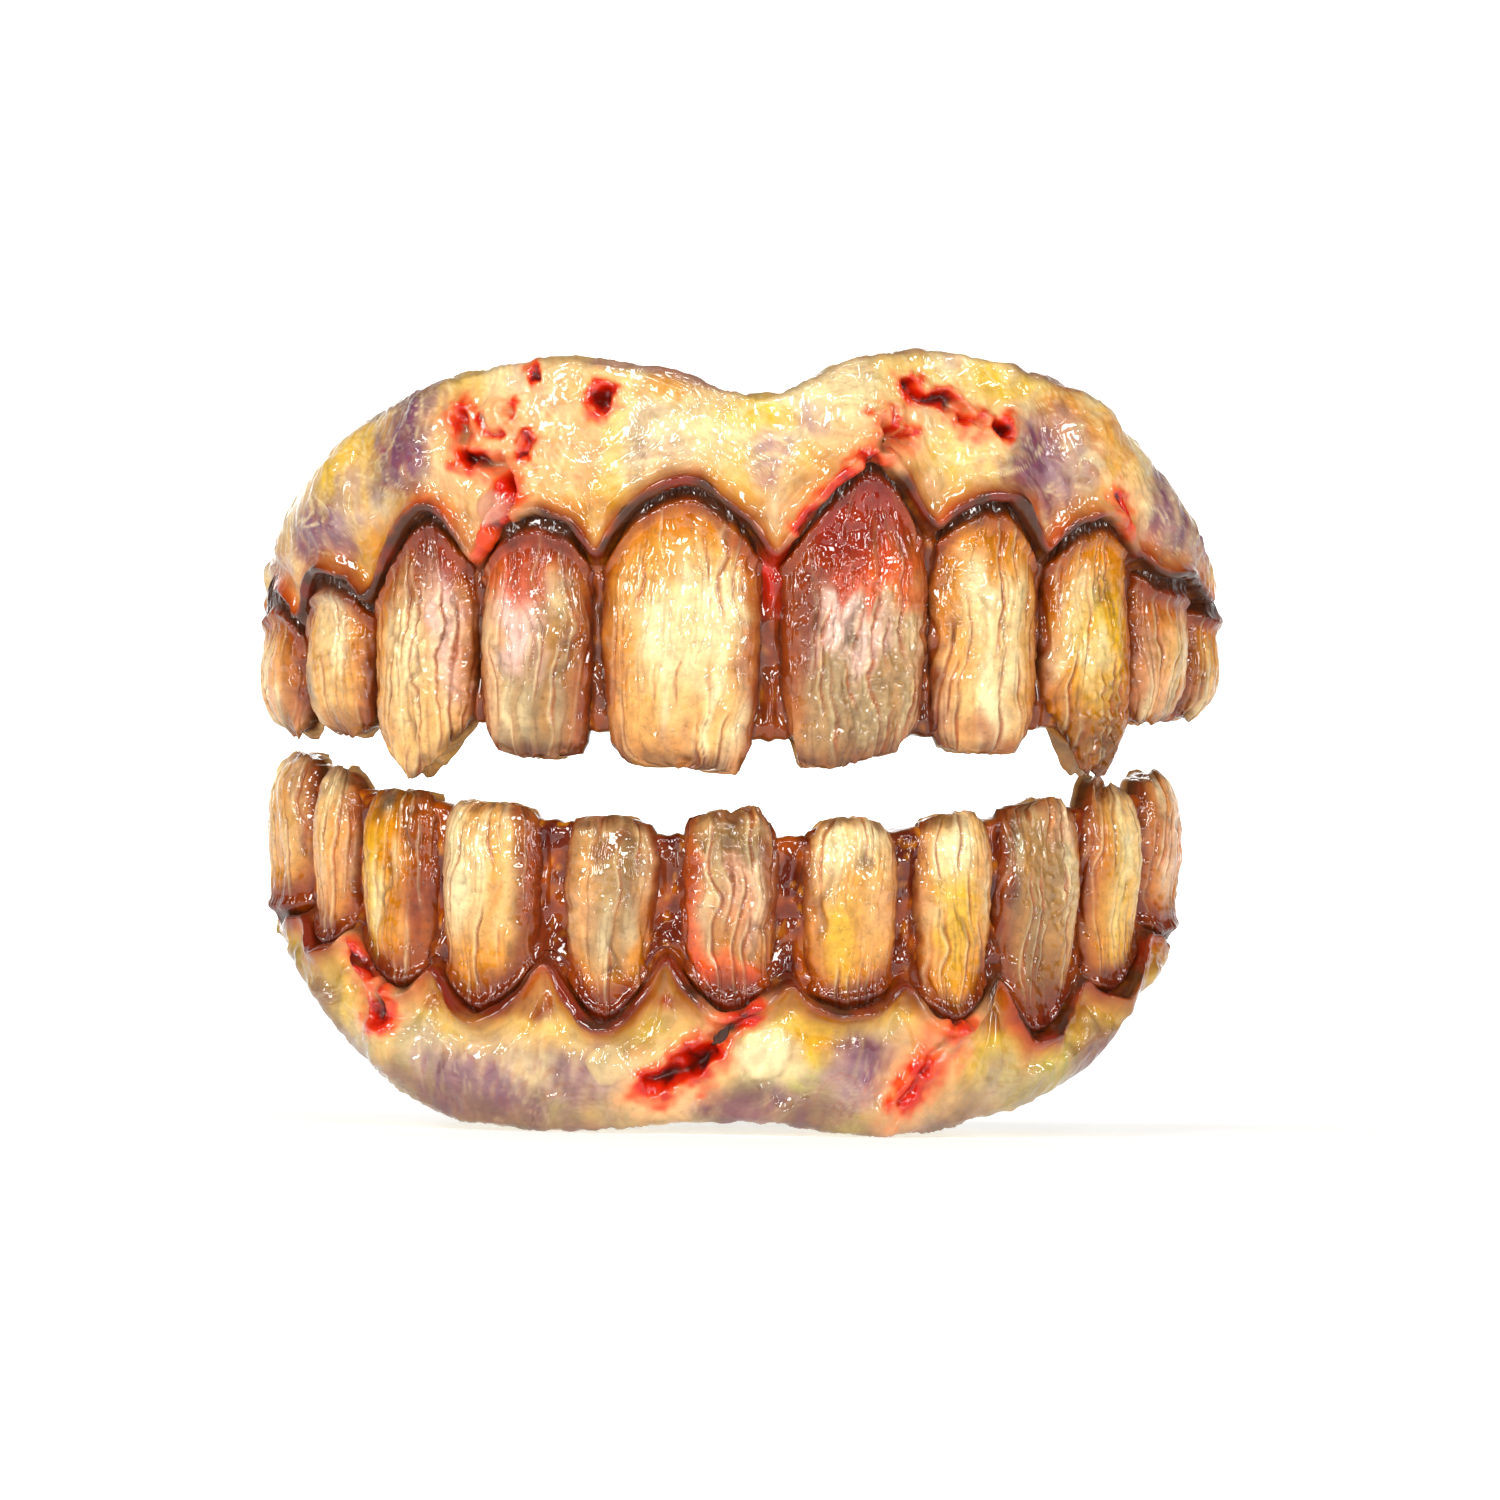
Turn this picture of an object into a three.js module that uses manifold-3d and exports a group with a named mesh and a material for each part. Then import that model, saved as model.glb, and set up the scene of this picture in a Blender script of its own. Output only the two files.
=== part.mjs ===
// Costume teeth: an upper and a lower horseshoe of cast resin gum, each a trough that slips over the
// wearer's own teeth, with long ragged resin teeth set in sockets along its front.
//
// Millimetres, +Z up. The face of the teeth looks along -Y and the wearer's left is +X. The origin is on the
// midline, in the middle of the upper trough, at the height where the two rows meet.
//
// Every shape is drawn in three arch lengths: along runs round the horseshoe from the midline, out stands
// proud of the face of the teeth, and up runs from the bite to the gum's rim, which is upwards on the upper
// arch and downwards on the lower one.
import * as THREE from 'three';
import Module from 'manifold-3d';

const wasm = await Module();
wasm.setup();

// The horseshoes: half an ellipse through the face of the teeth.
const UPPER_WIDTH = 62.6; // over the last teeth
const UPPER_DEPTH = 28; // from the front teeth back to the widest place
const UPPER_REACH = 42.5; // from the midline round to each back end
const UPPER_HEIGHT = 26.7; // from the bite to the highest point of the rim
const LOWER_WIDTH = 59.2;
const LOWER_DEPTH = 27;
const LOWER_REACH = 40.5;
const LOWER_HEIGHT = 21.1;
const UPPER_SPLAY = 0.05; // both faces lean out towards the bite by this share of their height
const LOWER_SPLAY = 0.07;
const OVERJET = 1; // the lower face stands this far behind the upper one
const LOWER_OFFSET = -0.8; // the bite is crooked: the lower arch sits a little to one side

// The trough that holds the wearer's teeth.
const FACE_RECESS = 2.2; // the wall between the teeth lies this far behind their faces
const WALL = 3.2; // front wall, behind that recess
const CHANNEL = 7.6; // width of the trough
const INNER_WALL = 1.8; // wall on the tongue side
const INNER_HEIGHT = 7.5; // height of that wall
const FLOOR = 1.8; // thickness over the bite
const RIM_THICKNESS = 1.9;
const FLARE_DROP = 1.2; // the trough's front wall starts to flare this far below the gum line
const UPPER_SEAT = 3.4; // height of the trough's underside over the bite, at the front
const UPPER_SEAT_RISE = 2.2; // how much more it is at the back ends
const UPPER_RIDGE = 0.3; // the front wall stands out under the trough this far, at the front
const UPPER_RIDGE_RISE = 0; // how much more it does at the back ends
const LOWER_SEAT = 3.1;
const LOWER_SEAT_RISE = 0;
const LOWER_RIDGE = 0.3;
const LOWER_RIDGE_RISE = 3.6;
const RIDGE_BEVEL = 1; // the ridge's slope back to the underside
const FLAT_SEAT = 5; // the seat is level this far to each side of the midline

// The gum.
const LIP_PROUD = 0.3; // the gum line stands proud of the teeth
const ROOT_SWELL = 0.5; // bulge over each root
const RIM_LEAN = 0.9; // the rim leans back this far

// The teeth.
const TOOTH_DEPTH = 3.2; // from the face to the flat back
const TOOTH_GAP = 0.4; // between neighbours
const CLEARANCE = 0.3; // between a tooth and its socket
const TUCK = 1.6; // length of root hidden under the gum line
const RIM_LAND = 1; // a root stops this far short of the rim
const FLANK = 0.35; // depth of a tooth's sides, as a share of its middle
const BACK_SHARE = 0.86; // width of a tooth's flat back, as a share of its face

// How finely the shapes are cut.
const SECTIONS_PER_SIDE = 3; // between a tooth's middle and its neighbour
const FACE_POINTS = 8;

// Crown shapes: at runs from the biting edge to the root's end, wide is a share of the tooth's width, deep
// of its depth, and back is how far its back stands forward, as a share of that depth.
const CROWNS = {
  incisor: [
    { at: 0.0, wide: 0.84, deep: 0.5, back: 0 },
    { at: 0.05, wide: 0.93, deep: 0.68, back: 0 },
    { at: 0.2, wide: 0.98, deep: 0.88, back: 0 },
    { at: 0.42, wide: 1.0, deep: 1.0, back: 0 },
    { at: 0.66, wide: 0.94, deep: 0.96, back: 0 },
    { at: 0.86, wide: 0.76, deep: 0.7, back: 0.12 },
    { at: 1.0, wide: 0.46, deep: 0.4, back: 0.3 },
  ],
  bared: [
    { at: 0.0, wide: 0.86, deep: 0.5, back: 0 },
    { at: 0.05, wide: 0.94, deep: 0.68, back: 0 },
    { at: 0.2, wide: 1.0, deep: 0.9, back: 0 },
    { at: 0.42, wide: 1.0, deep: 1.0, back: 0 },
    { at: 0.62, wide: 0.9, deep: 0.9, back: 0 },
    { at: 0.82, wide: 0.54, deep: 0.62, back: 0.12 },
    { at: 1.0, wide: 0.22, deep: 0.36, back: 0.3 },
  ],
  canine: [
    { at: 0.0, wide: 0.18, deep: 0.34, back: 0 },
    { at: 0.05, wide: 0.42, deep: 0.54, back: 0 },
    { at: 0.14, wide: 0.72, deep: 0.76, back: 0 },
    { at: 0.3, wide: 0.96, deep: 0.96, back: 0 },
    { at: 0.52, wide: 1.0, deep: 1.04, back: 0 },
    { at: 0.8, wide: 0.78, deep: 0.82, back: 0.12 },
    { at: 1.0, wide: 0.42, deep: 0.42, back: 0.3 },
  ],
  premolar: [
    { at: 0.0, wide: 0.56, deep: 0.42, back: 0 },
    { at: 0.06, wide: 0.78, deep: 0.66, back: 0 },
    { at: 0.2, wide: 0.95, deep: 0.9, back: 0 },
    { at: 0.42, wide: 1.0, deep: 1.0, back: 0 },
    { at: 0.66, wide: 0.95, deep: 0.96, back: 0 },
    { at: 0.86, wide: 0.78, deep: 0.72, back: 0.12 },
    { at: 1.0, wide: 0.5, deep: 0.42, back: 0.3 },
  ],
  lower: [
    { at: 0.0, wide: 0.86, deep: 0.5, back: 0 },
    { at: 0.05, wide: 0.95, deep: 0.68, back: 0 },
    { at: 0.18, wide: 1.0, deep: 0.88, back: 0 },
    { at: 0.4, wide: 0.98, deep: 1.0, back: 0 },
    { at: 0.62, wide: 0.88, deep: 0.96, back: 0 },
    { at: 0.84, wide: 0.68, deep: 0.72, back: 0.12 },
    { at: 1.0, wide: 0.42, deep: 0.42, back: 0.3 },
  ],
};

// Teeth, from the wearer's right to left. from and to are shares of the reach; tip, gum (the top of the
// gum line over the tooth) and between (the gum's point after it) are shares of the arch's height; apex
// moves that top sideways and drift moves the tip, as shares of half the tooth; slant is the biting edge's
// rise to the left; point is 2 for a round gum line and less for a pointed one.
const UPPER_TEETH = [
  { name: 'upper_right_second_premolar', crown: 'premolar', from: -0.976, to: -0.811, tip: 0.112,
    gum: 0.427, between: 0.356, apex: 0.2, drift: 0, slant: 0, point: 2, colour: '#c98d52' },
  { name: 'upper_right_first_premolar', crown: 'premolar', from: -0.811, to: -0.641, tip: 0.105,
    gum: 0.479, between: 0.408, apex: 0, drift: 0.2, slant: 0, point: 1.9, colour: '#d6ae78' },
  { name: 'upper_right_canine', crown: 'canine', from: -0.641, to: -0.446, tip: 0.009,
    gum: 0.637, between: 0.494, apex: 0.2, drift: -0.3, slant: 0, point: 1.5, colour: '#cf9458' },
  { name: 'upper_right_lateral_incisor', crown: 'incisor', from: -0.446, to: -0.259, tip: 0.067,
    gum: 0.625, between: 0.502, apex: 0.18, drift: 0, slant: 0, point: 2, colour: '#b58b66' },
  { name: 'upper_right_central_incisor', crown: 'incisor', from: -0.246, to: 0.003, tip: 0.052,
    gum: 0.689, between: 0.528, apex: 0, drift: 0.05, slant: 0, point: 2.1, colour: '#dca65e' },
  { name: 'upper_left_central_incisor', crown: 'bared', from: 0.028, to: 0.258, tip: 0.064,
    gum: 0.768, between: 0.584, apex: 0.2, drift: 0, slant: 0.14, point: 1.35, colour: '#b19676' },
  { name: 'upper_left_lateral_incisor', crown: 'incisor', from: 0.26, to: 0.454, tip: 0.082,
    gum: 0.678, between: 0.547, apex: 0, drift: 0, slant: 0, point: 1.8, colour: '#d49a55' },
  { name: 'upper_left_canine', crown: 'canine', from: 0.454, to: 0.643, tip: 0.045,
    gum: 0.644, between: 0.547, apex: 0.1, drift: 0.15, slant: 0, point: 1.6, colour: '#c9923f' },
  { name: 'upper_left_first_premolar', crown: 'premolar', from: 0.643, to: 0.811, tip: 0.15,
    gum: 0.521, between: 0.485, apex: -0.3, drift: 0.1, slant: 0, point: 2, colour: '#bf8a4c' },
  { name: 'upper_left_second_premolar', crown: 'premolar', from: 0.811, to: 0.967, tip: 0.172,
    gum: 0.464, between: 0.425, apex: -0.2, drift: 0, slant: 0, point: 2, colour: '#c29a58' },
];
const LOWER_TEETH = [
  { name: 'lower_right_second_premolar', crown: 'premolar', from: -0.988, to: -0.806, tip: -0.085,
    gum: 0.4, between: 0.37, apex: 0.2, drift: 0, slant: -0.1, point: 2, colour: '#c79a5e' },
  { name: 'lower_right_first_premolar', crown: 'premolar', from: -0.806, to: -0.684, tip: -0.071,
    gum: 0.498, between: 0.422, apex: 0, drift: -0.3, slant: 0.1, point: 1.8, colour: '#c99f66' },
  { name: 'lower_right_canine', crown: 'lower', from: -0.684, to: -0.514, tip: -0.008,
    gum: 0.616, between: 0.517, apex: 0.3, drift: -0.2, slant: 0.08, point: 1.8, colour: '#c9993c' },
  { name: 'lower_right_lateral_incisor', crown: 'lower', from: -0.514, to: -0.328, tip: 0.038,
    gum: 0.668, between: 0.488, apex: 0, drift: 0, slant: 0.06, point: 1.6, colour: '#cba26a' },
  { name: 'lower_right_central_incisor', crown: 'lower', from: -0.292, to: -0.137, tip: 0.09,
    gum: 0.692, between: 0.455, apex: 0, drift: 0, slant: 0.04, point: 1.6, colour: '#ad9168' },
  { name: 'lower_middle_incisor', crown: 'lower', from: -0.104, to: 0.06, tip: 0.071,
    gum: 0.668, between: 0.55, apex: -0.1, drift: 0, slant: 0, point: 1.6, colour: '#a97f58' },
  { name: 'lower_left_central_incisor', crown: 'lower', from: 0.092, to: 0.254, tip: 0.09,
    gum: 0.645, between: 0.521, apex: -0.1, drift: 0.1, slant: 0, point: 2, colour: '#cf9f4e' },
  { name: 'lower_left_lateral_incisor', crown: 'lower', from: 0.279, to: 0.424, tip: 0.066,
    gum: 0.678, between: 0.502, apex: -0.1, drift: 0.1, slant: 0, point: 1.9, colour: '#d6ac4e' },
  { name: 'lower_left_canine', crown: 'lower', from: 0.428, to: 0.612, tip: 0.024,
    gum: 0.711, between: 0.521, apex: -0.25, drift: 0.2, slant: 0, point: 1.6, colour: '#a3855f' },
  { name: 'lower_left_first_premolar', crown: 'premolar', from: 0.614, to: 0.785, tip: -0.024,
    gum: 0.588, between: 0.395, apex: -0.3, drift: 0.2, slant: 0, point: 1.8, colour: '#d2a44c' },
  { name: 'lower_left_second_premolar', crown: 'premolar', from: 0.785, to: 0.976, tip: -0.066,
    gum: 0.43, between: 0.4, apex: -0.2, drift: 0, slant: 0.1, point: 2, colour: '#b7905e' },
];
const UPPER_END_GUM = 0.38; // the gum's point before the first tooth
const LOWER_END_GUM = 0.36;

// The rim's height round the arch: at is a share of the reach, high of the height.
const UPPER_RIM = [
  { at: -1.0, high: 0.46 },
  { at: -0.93, high: 0.51 },
  { at: -0.85, high: 0.64 },
  { at: -0.7, high: 0.81 },
  { at: -0.49, high: 0.934 },
  { at: -0.32, high: 0.981 },
  { at: -0.17, high: 0.97 },
  { at: 0.0, high: 0.899 },
  { at: 0.12, high: 0.965 },
  { at: 0.27, high: 1.0 },
  { at: 0.53, high: 0.903 },
  { at: 0.68, high: 0.752 },
  { at: 0.82, high: 0.575 },
  { at: 0.91, high: 0.5 },
  { at: 1.0, high: 0.46 },
];
const LOWER_RIM = [
  { at: -1.0, high: 0.45 },
  { at: -0.89, high: 0.51 },
  { at: -0.78, high: 0.63 },
  { at: -0.65, high: 0.785 },
  { at: -0.49, high: 0.935 },
  { at: -0.28, high: 1.0 },
  { at: 0.0, high: 0.957 },
  { at: 0.22, high: 0.996 },
  { at: 0.46, high: 0.93 },
  { at: 0.62, high: 0.825 },
  { at: 0.71, high: 0.685 },
  { at: 0.81, high: 0.56 },
  { at: 0.89, high: 0.51 },
  { at: 1.0, high: 0.48 },
];

// Sores sunk in the gum: along is a share of the reach and up of the height, long and broad are the hollow's
// half lengths as shares of the height, deep is a share of the front wall, and turn is in degrees from level.
const UPPER_SORES = [
  { along: -0.39, up: 0.69, long: 0.12, broad: 0.055, deep: 0.42, turn: 75 },
  { along: -0.245, up: 0.885, long: 0.05, broad: 0.045, deep: 0.3, turn: 90 },
  { along: 0.2, up: 0.84, long: 0.06, broad: 0.06, deep: 0.38, turn: 90 },
  { along: 0.28, up: 0.905, long: 0.085, broad: 0.035, deep: 0.3, turn: -25 },
];
const LOWER_SORES = [
  { along: -0.06, up: 0.83, long: 0.15, broad: 0.06, deep: 0.42, turn: 35 },
  { along: 0.31, up: 0.79, long: 0.16, broad: 0.05, deep: 0.36, turn: 55 },
  { along: -0.6, up: 0.68, long: 0.1, broad: 0.06, deep: 0.26, turn: 70 },
];

const clamp = (value, low, high) => Math.min(high, Math.max(low, value));

// A smooth curve through a table's rows, held level past its ends.
function through(rows, x, key, value) {
  const last = rows.length - 1;
  const place = clamp(x, rows[0][key], rows[last][key]);
  const k = Math.max(1, rows.findIndex((row) => row[key] >= place)) - 1;
  const slope = (j) => {
    const a = rows[Math.max(j - 1, 0)];
    const b = rows[Math.min(j + 1, last)];
    return (b[value] - a[value]) / (b[key] - a[key]);
  };
  const [a, b] = [rows[k], rows[k + 1]];
  const span = b[key] - a[key];
  const t = (place - a[key]) / span;
  return (
    (2 * t ** 3 - 3 * t ** 2 + 1) * a[value] +
    (t ** 3 - 2 * t ** 2 + t) * span * slope(k) +
    (3 * t ** 2 - 2 * t ** 3) * b[value] +
    (t ** 3 - t ** 2) * span * slope(k + 1)
  );
}

// One arch: where a point of it lies, and the lines that its gum follows.
function makeArch(form) {
  const turn = (2 * Math.PI) / 3;
  const curve = new THREE.EllipseCurve(
    form.offset, form.front + form.depth, form.width / 2, form.depth, -Math.PI / 2 - turn, -Math.PI / 2 + turn,
  );
  curve.arcLengthDivisions = 1200;
  const length = curve.getLength();
  const place = (along, out, up) => {
    const u = 0.5 + along / length;
    const point = curve.getPointAt(u);
    const tangent = curve.getTangentAt(u);
    const lean = clamp(1 + (out + FACE_RECESS) / WALL, 0, 1); // none of it from the trough inwards
    const proud = out - form.splay * up * lean;
    return new THREE.Vector3(point.x + tangent.y * proud, point.y - tangent.x * proud, form.way * up);
  };
  const cells = form.teeth.map((tooth, i) => {
    const before = form.teeth[i - 1];
    const after = form.teeth[i + 1];
    const low = before ? (before.to + tooth.from) / 2 : tooth.from;
    const high = after ? (after.from + tooth.to) / 2 : tooth.to;
    const middle = (tooth.from + tooth.to) / 2;
    return {
      tooth,
      low: low * form.reach,
      high: high * form.reach,
      middle: middle * form.reach,
      half: ((tooth.to - tooth.from) * form.reach - TOOTH_GAP) / 2,
      apex: (middle + (tooth.apex * (tooth.to - tooth.from)) / 2) * form.reach,
      gum: tooth.gum * form.height,
      gumBefore: (before ? before.between : form.endGum) * form.height,
      gumAfter: tooth.between * form.height,
    };
  });
  const cellAt = (along) => cells.find((cell) => along <= cell.high) ?? cells[cells.length - 1];
  const rim = (along) => through(form.rim, along / form.reach, 'at', 'high') * form.height;
  const gumLine = (along) => {
    const cell = cellAt(along);
    const side = along < cell.apex ? cell.low : cell.high;
    const between = along < cell.apex ? cell.gumBefore : cell.gumAfter;
    const away = clamp((along - cell.apex) / (side - cell.apex), 0, 1);
    return between + (cell.gum - between) * (1 - away ** cell.tooth.point);
  };
  const beyondSeat = (along) => Math.max(0, Math.abs(along) - FLAT_SEAT) / (form.reach - FLAT_SEAT);
  const seat = (along) => form.seat + form.seatRise * beyondSeat(along);
  const ridge = (along) => seat(along) - form.ridge - form.ridgeRise * beyondSeat(along);
  const gumFace = (along, share) => {
    const cell = cellAt(along);
    const side = along < cell.middle ? cell.low : cell.high;
    const away = clamp((along - cell.middle) / (side - cell.middle), 0, 1);
    const swell = ROOT_SWELL * Math.cos(Math.PI * away) * (1 - share);
    const up = gumLine(along) + (rim(along) - gumLine(along)) * share;
    const sunk = form.sores.reduce((sum, sore) => {
      const a = along - sore.along * form.reach;
      const b = up - sore.up * form.height;
      const turned = THREE.MathUtils.degToRad(sore.turn);
      const lengthwise = a * Math.cos(turned) + b * Math.sin(turned);
      const crosswise = b * Math.cos(turned) - a * Math.sin(turned);
      const far = Math.hypot(lengthwise / (sore.long * form.height), crosswise / (sore.broad * form.height));
      return sum + sore.deep * WALL * Math.exp(-far * far);
    }, 0);
    return LIP_PROUD + swell - RIM_LEAN * share ** 2 - sunk;
  };
  return { ...form, place, cells, rim, gumLine, seatAt: seat, ridgeAt: ridge, gumFace };
}

// A closed solid through outlines with equal counts of points, each placed by place(station, point).
function loft(stations, outlineAt, place) {
  const outlines = stations.map(outlineAt).map((outline) => (
    THREE.ShapeUtils.isClockWise(outline) ? [...outline].reverse() : outline
  ));
  const count = outlines[0].length;
  const points = outlines.flatMap((outline, i) => outline.map((point) => place(stations[i], point)));
  const faces = [];
  for (let i = 0; i + 1 < stations.length; i += 1) {
    for (let j = 0; j < count; j += 1) {
      const next = (j + 1) % count;
      const [a, b, c, d] = [i * count + j, i * count + next, (i + 1) * count + next, (i + 1) * count + j];
      faces.push([a, b, c], [a, c, d]);
    }
  }
  const end = (stations.length - 1) * count;
  for (const face of THREE.ShapeUtils.triangulateShape(outlines[0], [])) faces.push([...face].reverse());
  const lid = THREE.ShapeUtils.triangulateShape(outlines.at(-1), []);
  for (const face of lid) faces.push(face.map((k) => k + end));
  return facingOut(points, faces);
}

// The same faces, turned so that the solid's volume is positive.
function facingOut(points, faces) {
  const volume = faces.reduce((sum, [a, b, c]) => sum + points[a].dot(points[b].clone().cross(points[c])), 0);
  const turned = volume > 0 ? faces : faces.map(([a, b, c]) => [a, c, b]);
  const mesh = new wasm.Mesh({
    numProp: 3,
    vertProperties: new Float32Array(points.flatMap((point) => point.toArray())),
    triVerts: new Uint32Array(turned.flat()),
  });
  return new wasm.Manifold(mesh);
}

// The tooth itself, or with grow the room that its socket needs.
function toothSolid(arch, cell, grow = 0) {
  const { tooth } = cell;
  const crown = CROWNS[tooth.crown];
  const tip = tooth.tip * arch.height - grow;
  const rootHalf = crown.at(-1).wide * cell.half;
  const cover = Math.min(arch.rim(cell.middle - rootHalf), arch.rim(cell.middle + rootHalf)) - RIM_LAND;
  const root = Math.min(cell.gum + TUCK, cover) + grow;
  const face = [...Array(FACE_POINTS + 1).keys()].map((i) => -Math.cos((Math.PI * i) / FACE_POINTS));
  const outline = (row) => {
    const half = row.wide * cell.half + grow;
    const back = -TOOTH_DEPTH * (1 - row.back) - grow;
    const depth = row.deep * TOOTH_DEPTH + 2 * grow;
    const middle = cell.middle + tooth.drift * cell.half * (1 - row.wide) * (1 - row.at);
    const bulge = (u) => FLANK + (1 - FLANK) * Math.sqrt(1 - Math.abs(u) ** 2.4);
    const front = face.map((u) => new THREE.Vector2(middle + u * half, back + depth * bulge(u)));
    const rear = [BACK_SHARE, -BACK_SHARE].map((u) => new THREE.Vector2(middle + u * half, back));
    return [...front, ...rear];
  };
  const place = (row, point) => {
    const rise = tooth.slant * (point.x - cell.middle) * (1 - row.at) ** 2;
    return arch.place(point.x, point.y, tip + (root - tip) * row.at + rise);
  };
  return loft(crown, outline, place);
}

// The gum: a trough with a thick scalloped front, cut through by the teeth's sockets.
function gumSolid(arch) {
  const inner = FACE_RECESS + WALL + CHANNEL;
  const stations = [-arch.reach];
  for (const cell of arch.cells) {
    for (const [from, to] of [[cell.low, cell.apex], [cell.apex, cell.high]]) {
      for (let i = 0; i < SECTIONS_PER_SIDE; i += 1) {
        stations.push(from + ((to - from) * i) / SECTIONS_PER_SIDE);
      }
    }
  }
  stations.push(arch.cells.at(-1).high, arch.reach);
  const outline = (along) => {
    const [line, rim] = [arch.gumLine(along), arch.rim(along)];
    const [seat, ridge] = [arch.seatAt(along), arch.ridgeAt(along)];
    const face = [1, 0.82, 0.6, 0.38, 0.16, 0].map(
      (share) => new THREE.Vector2(arch.gumFace(along, share), line + (rim - line) * share),
    );
    const top = seat + INNER_HEIGHT;
    return [
      ...face,
      new THREE.Vector2(-FACE_RECESS, line),
      new THREE.Vector2(-FACE_RECESS, ridge),
      new THREE.Vector2(-FACE_RECESS - WALL + RIDGE_BEVEL, ridge),
      new THREE.Vector2(-FACE_RECESS - WALL, seat),
      new THREE.Vector2(-inner - INNER_WALL, seat),
      new THREE.Vector2(-inner - INNER_WALL, top),
      new THREE.Vector2(-inner, top),
      new THREE.Vector2(-inner, seat + FLOOR),
      new THREE.Vector2(-FACE_RECESS - WALL, seat + FLOOR),
      new THREE.Vector2(-FACE_RECESS - WALL, line - FLARE_DROP),
      new THREE.Vector2(arch.gumFace(along, 1) - RIM_THICKNESS, rim),
    ];
  };
  const trough = loft(stations, outline, (along, point) => arch.place(along, point.x, point.y));
  return arch.cells.reduce((gum, cell) => gum.subtract(toothSolid(arch, cell, CLEARANCE)), trough);
}

function namedMesh(name, solid, colour, roughness) {
  const { vertProperties, triVerts } = solid.getMesh();
  const geometry = new THREE.BufferGeometry();
  geometry.setAttribute('position', new THREE.BufferAttribute(new Float32Array(vertProperties), 3));
  geometry.setIndex(new THREE.BufferAttribute(new Uint32Array(triVerts), 1));
  const material = new THREE.MeshStandardMaterial({ color: colour, roughness, metalness: 0 });
  const mesh = new THREE.Mesh(geometry, material);
  mesh.name = name;
  return mesh;
}

function archGroup(arch) {
  const group = new THREE.Group();
  group.add(namedMesh(arch.gumName, gumSolid(arch), '#d6c39a', 0.3));
  for (const cell of arch.cells) {
    group.add(namedMesh(cell.tooth.name, toothSolid(arch, cell), cell.tooth.colour, 0.25));
  }
  return group;
}

const front = -(FACE_RECESS + WALL + CHANNEL / 2);
const upper = makeArch({
  gumName: 'upper_gum', way: 1, width: UPPER_WIDTH, depth: UPPER_DEPTH, reach: UPPER_REACH,
  height: UPPER_HEIGHT, front, offset: 0, splay: UPPER_SPLAY, seat: UPPER_SEAT, seatRise: UPPER_SEAT_RISE,
  ridge: UPPER_RIDGE, ridgeRise: UPPER_RIDGE_RISE,
  teeth: UPPER_TEETH, endGum: UPPER_END_GUM, rim: UPPER_RIM, sores: UPPER_SORES,
});
const lower = makeArch({
  gumName: 'lower_gum', way: -1, width: LOWER_WIDTH, depth: LOWER_DEPTH, reach: LOWER_REACH,
  height: LOWER_HEIGHT, front: front + OVERJET, offset: LOWER_OFFSET, splay: LOWER_SPLAY, seat: LOWER_SEAT,
  seatRise: LOWER_SEAT_RISE, ridge: LOWER_RIDGE, ridgeRise: LOWER_RIDGE_RISE,
  teeth: LOWER_TEETH, endGum: LOWER_END_GUM, rim: LOWER_RIM, sores: LOWER_SORES,
});

const teeth = new THREE.Group();
teeth.add(archGroup(upper), archGroup(lower));

export default teeth;
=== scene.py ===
# Costume teeth: two horseshoes of cast resin gum with long ragged teeth, painted by hand and lacquered. The
# arches stand open as they are worn, the lower one on the floor. Metres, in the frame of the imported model.
import math

import bpy
import numpy as np
from mathutils import Matrix, Vector


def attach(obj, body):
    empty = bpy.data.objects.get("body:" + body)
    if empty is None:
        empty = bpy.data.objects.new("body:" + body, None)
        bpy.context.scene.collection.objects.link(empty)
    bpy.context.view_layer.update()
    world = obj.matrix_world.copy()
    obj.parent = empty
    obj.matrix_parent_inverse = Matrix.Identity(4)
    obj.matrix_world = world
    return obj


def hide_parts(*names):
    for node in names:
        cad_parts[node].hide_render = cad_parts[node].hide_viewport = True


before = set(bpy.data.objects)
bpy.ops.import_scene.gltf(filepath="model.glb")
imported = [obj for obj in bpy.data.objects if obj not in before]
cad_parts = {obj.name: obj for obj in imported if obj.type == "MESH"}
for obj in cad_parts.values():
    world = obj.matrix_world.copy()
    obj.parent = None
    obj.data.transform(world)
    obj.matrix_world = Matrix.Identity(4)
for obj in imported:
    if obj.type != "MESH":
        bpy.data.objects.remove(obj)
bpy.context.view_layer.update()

# The upper gum: one horseshoe of cast polyester resin, a trough that slips over the wearer's own teeth. Its
# face is sculpted with root bulges, brush-like lumps and open sores, then painted and sealed with lacquer.

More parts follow.
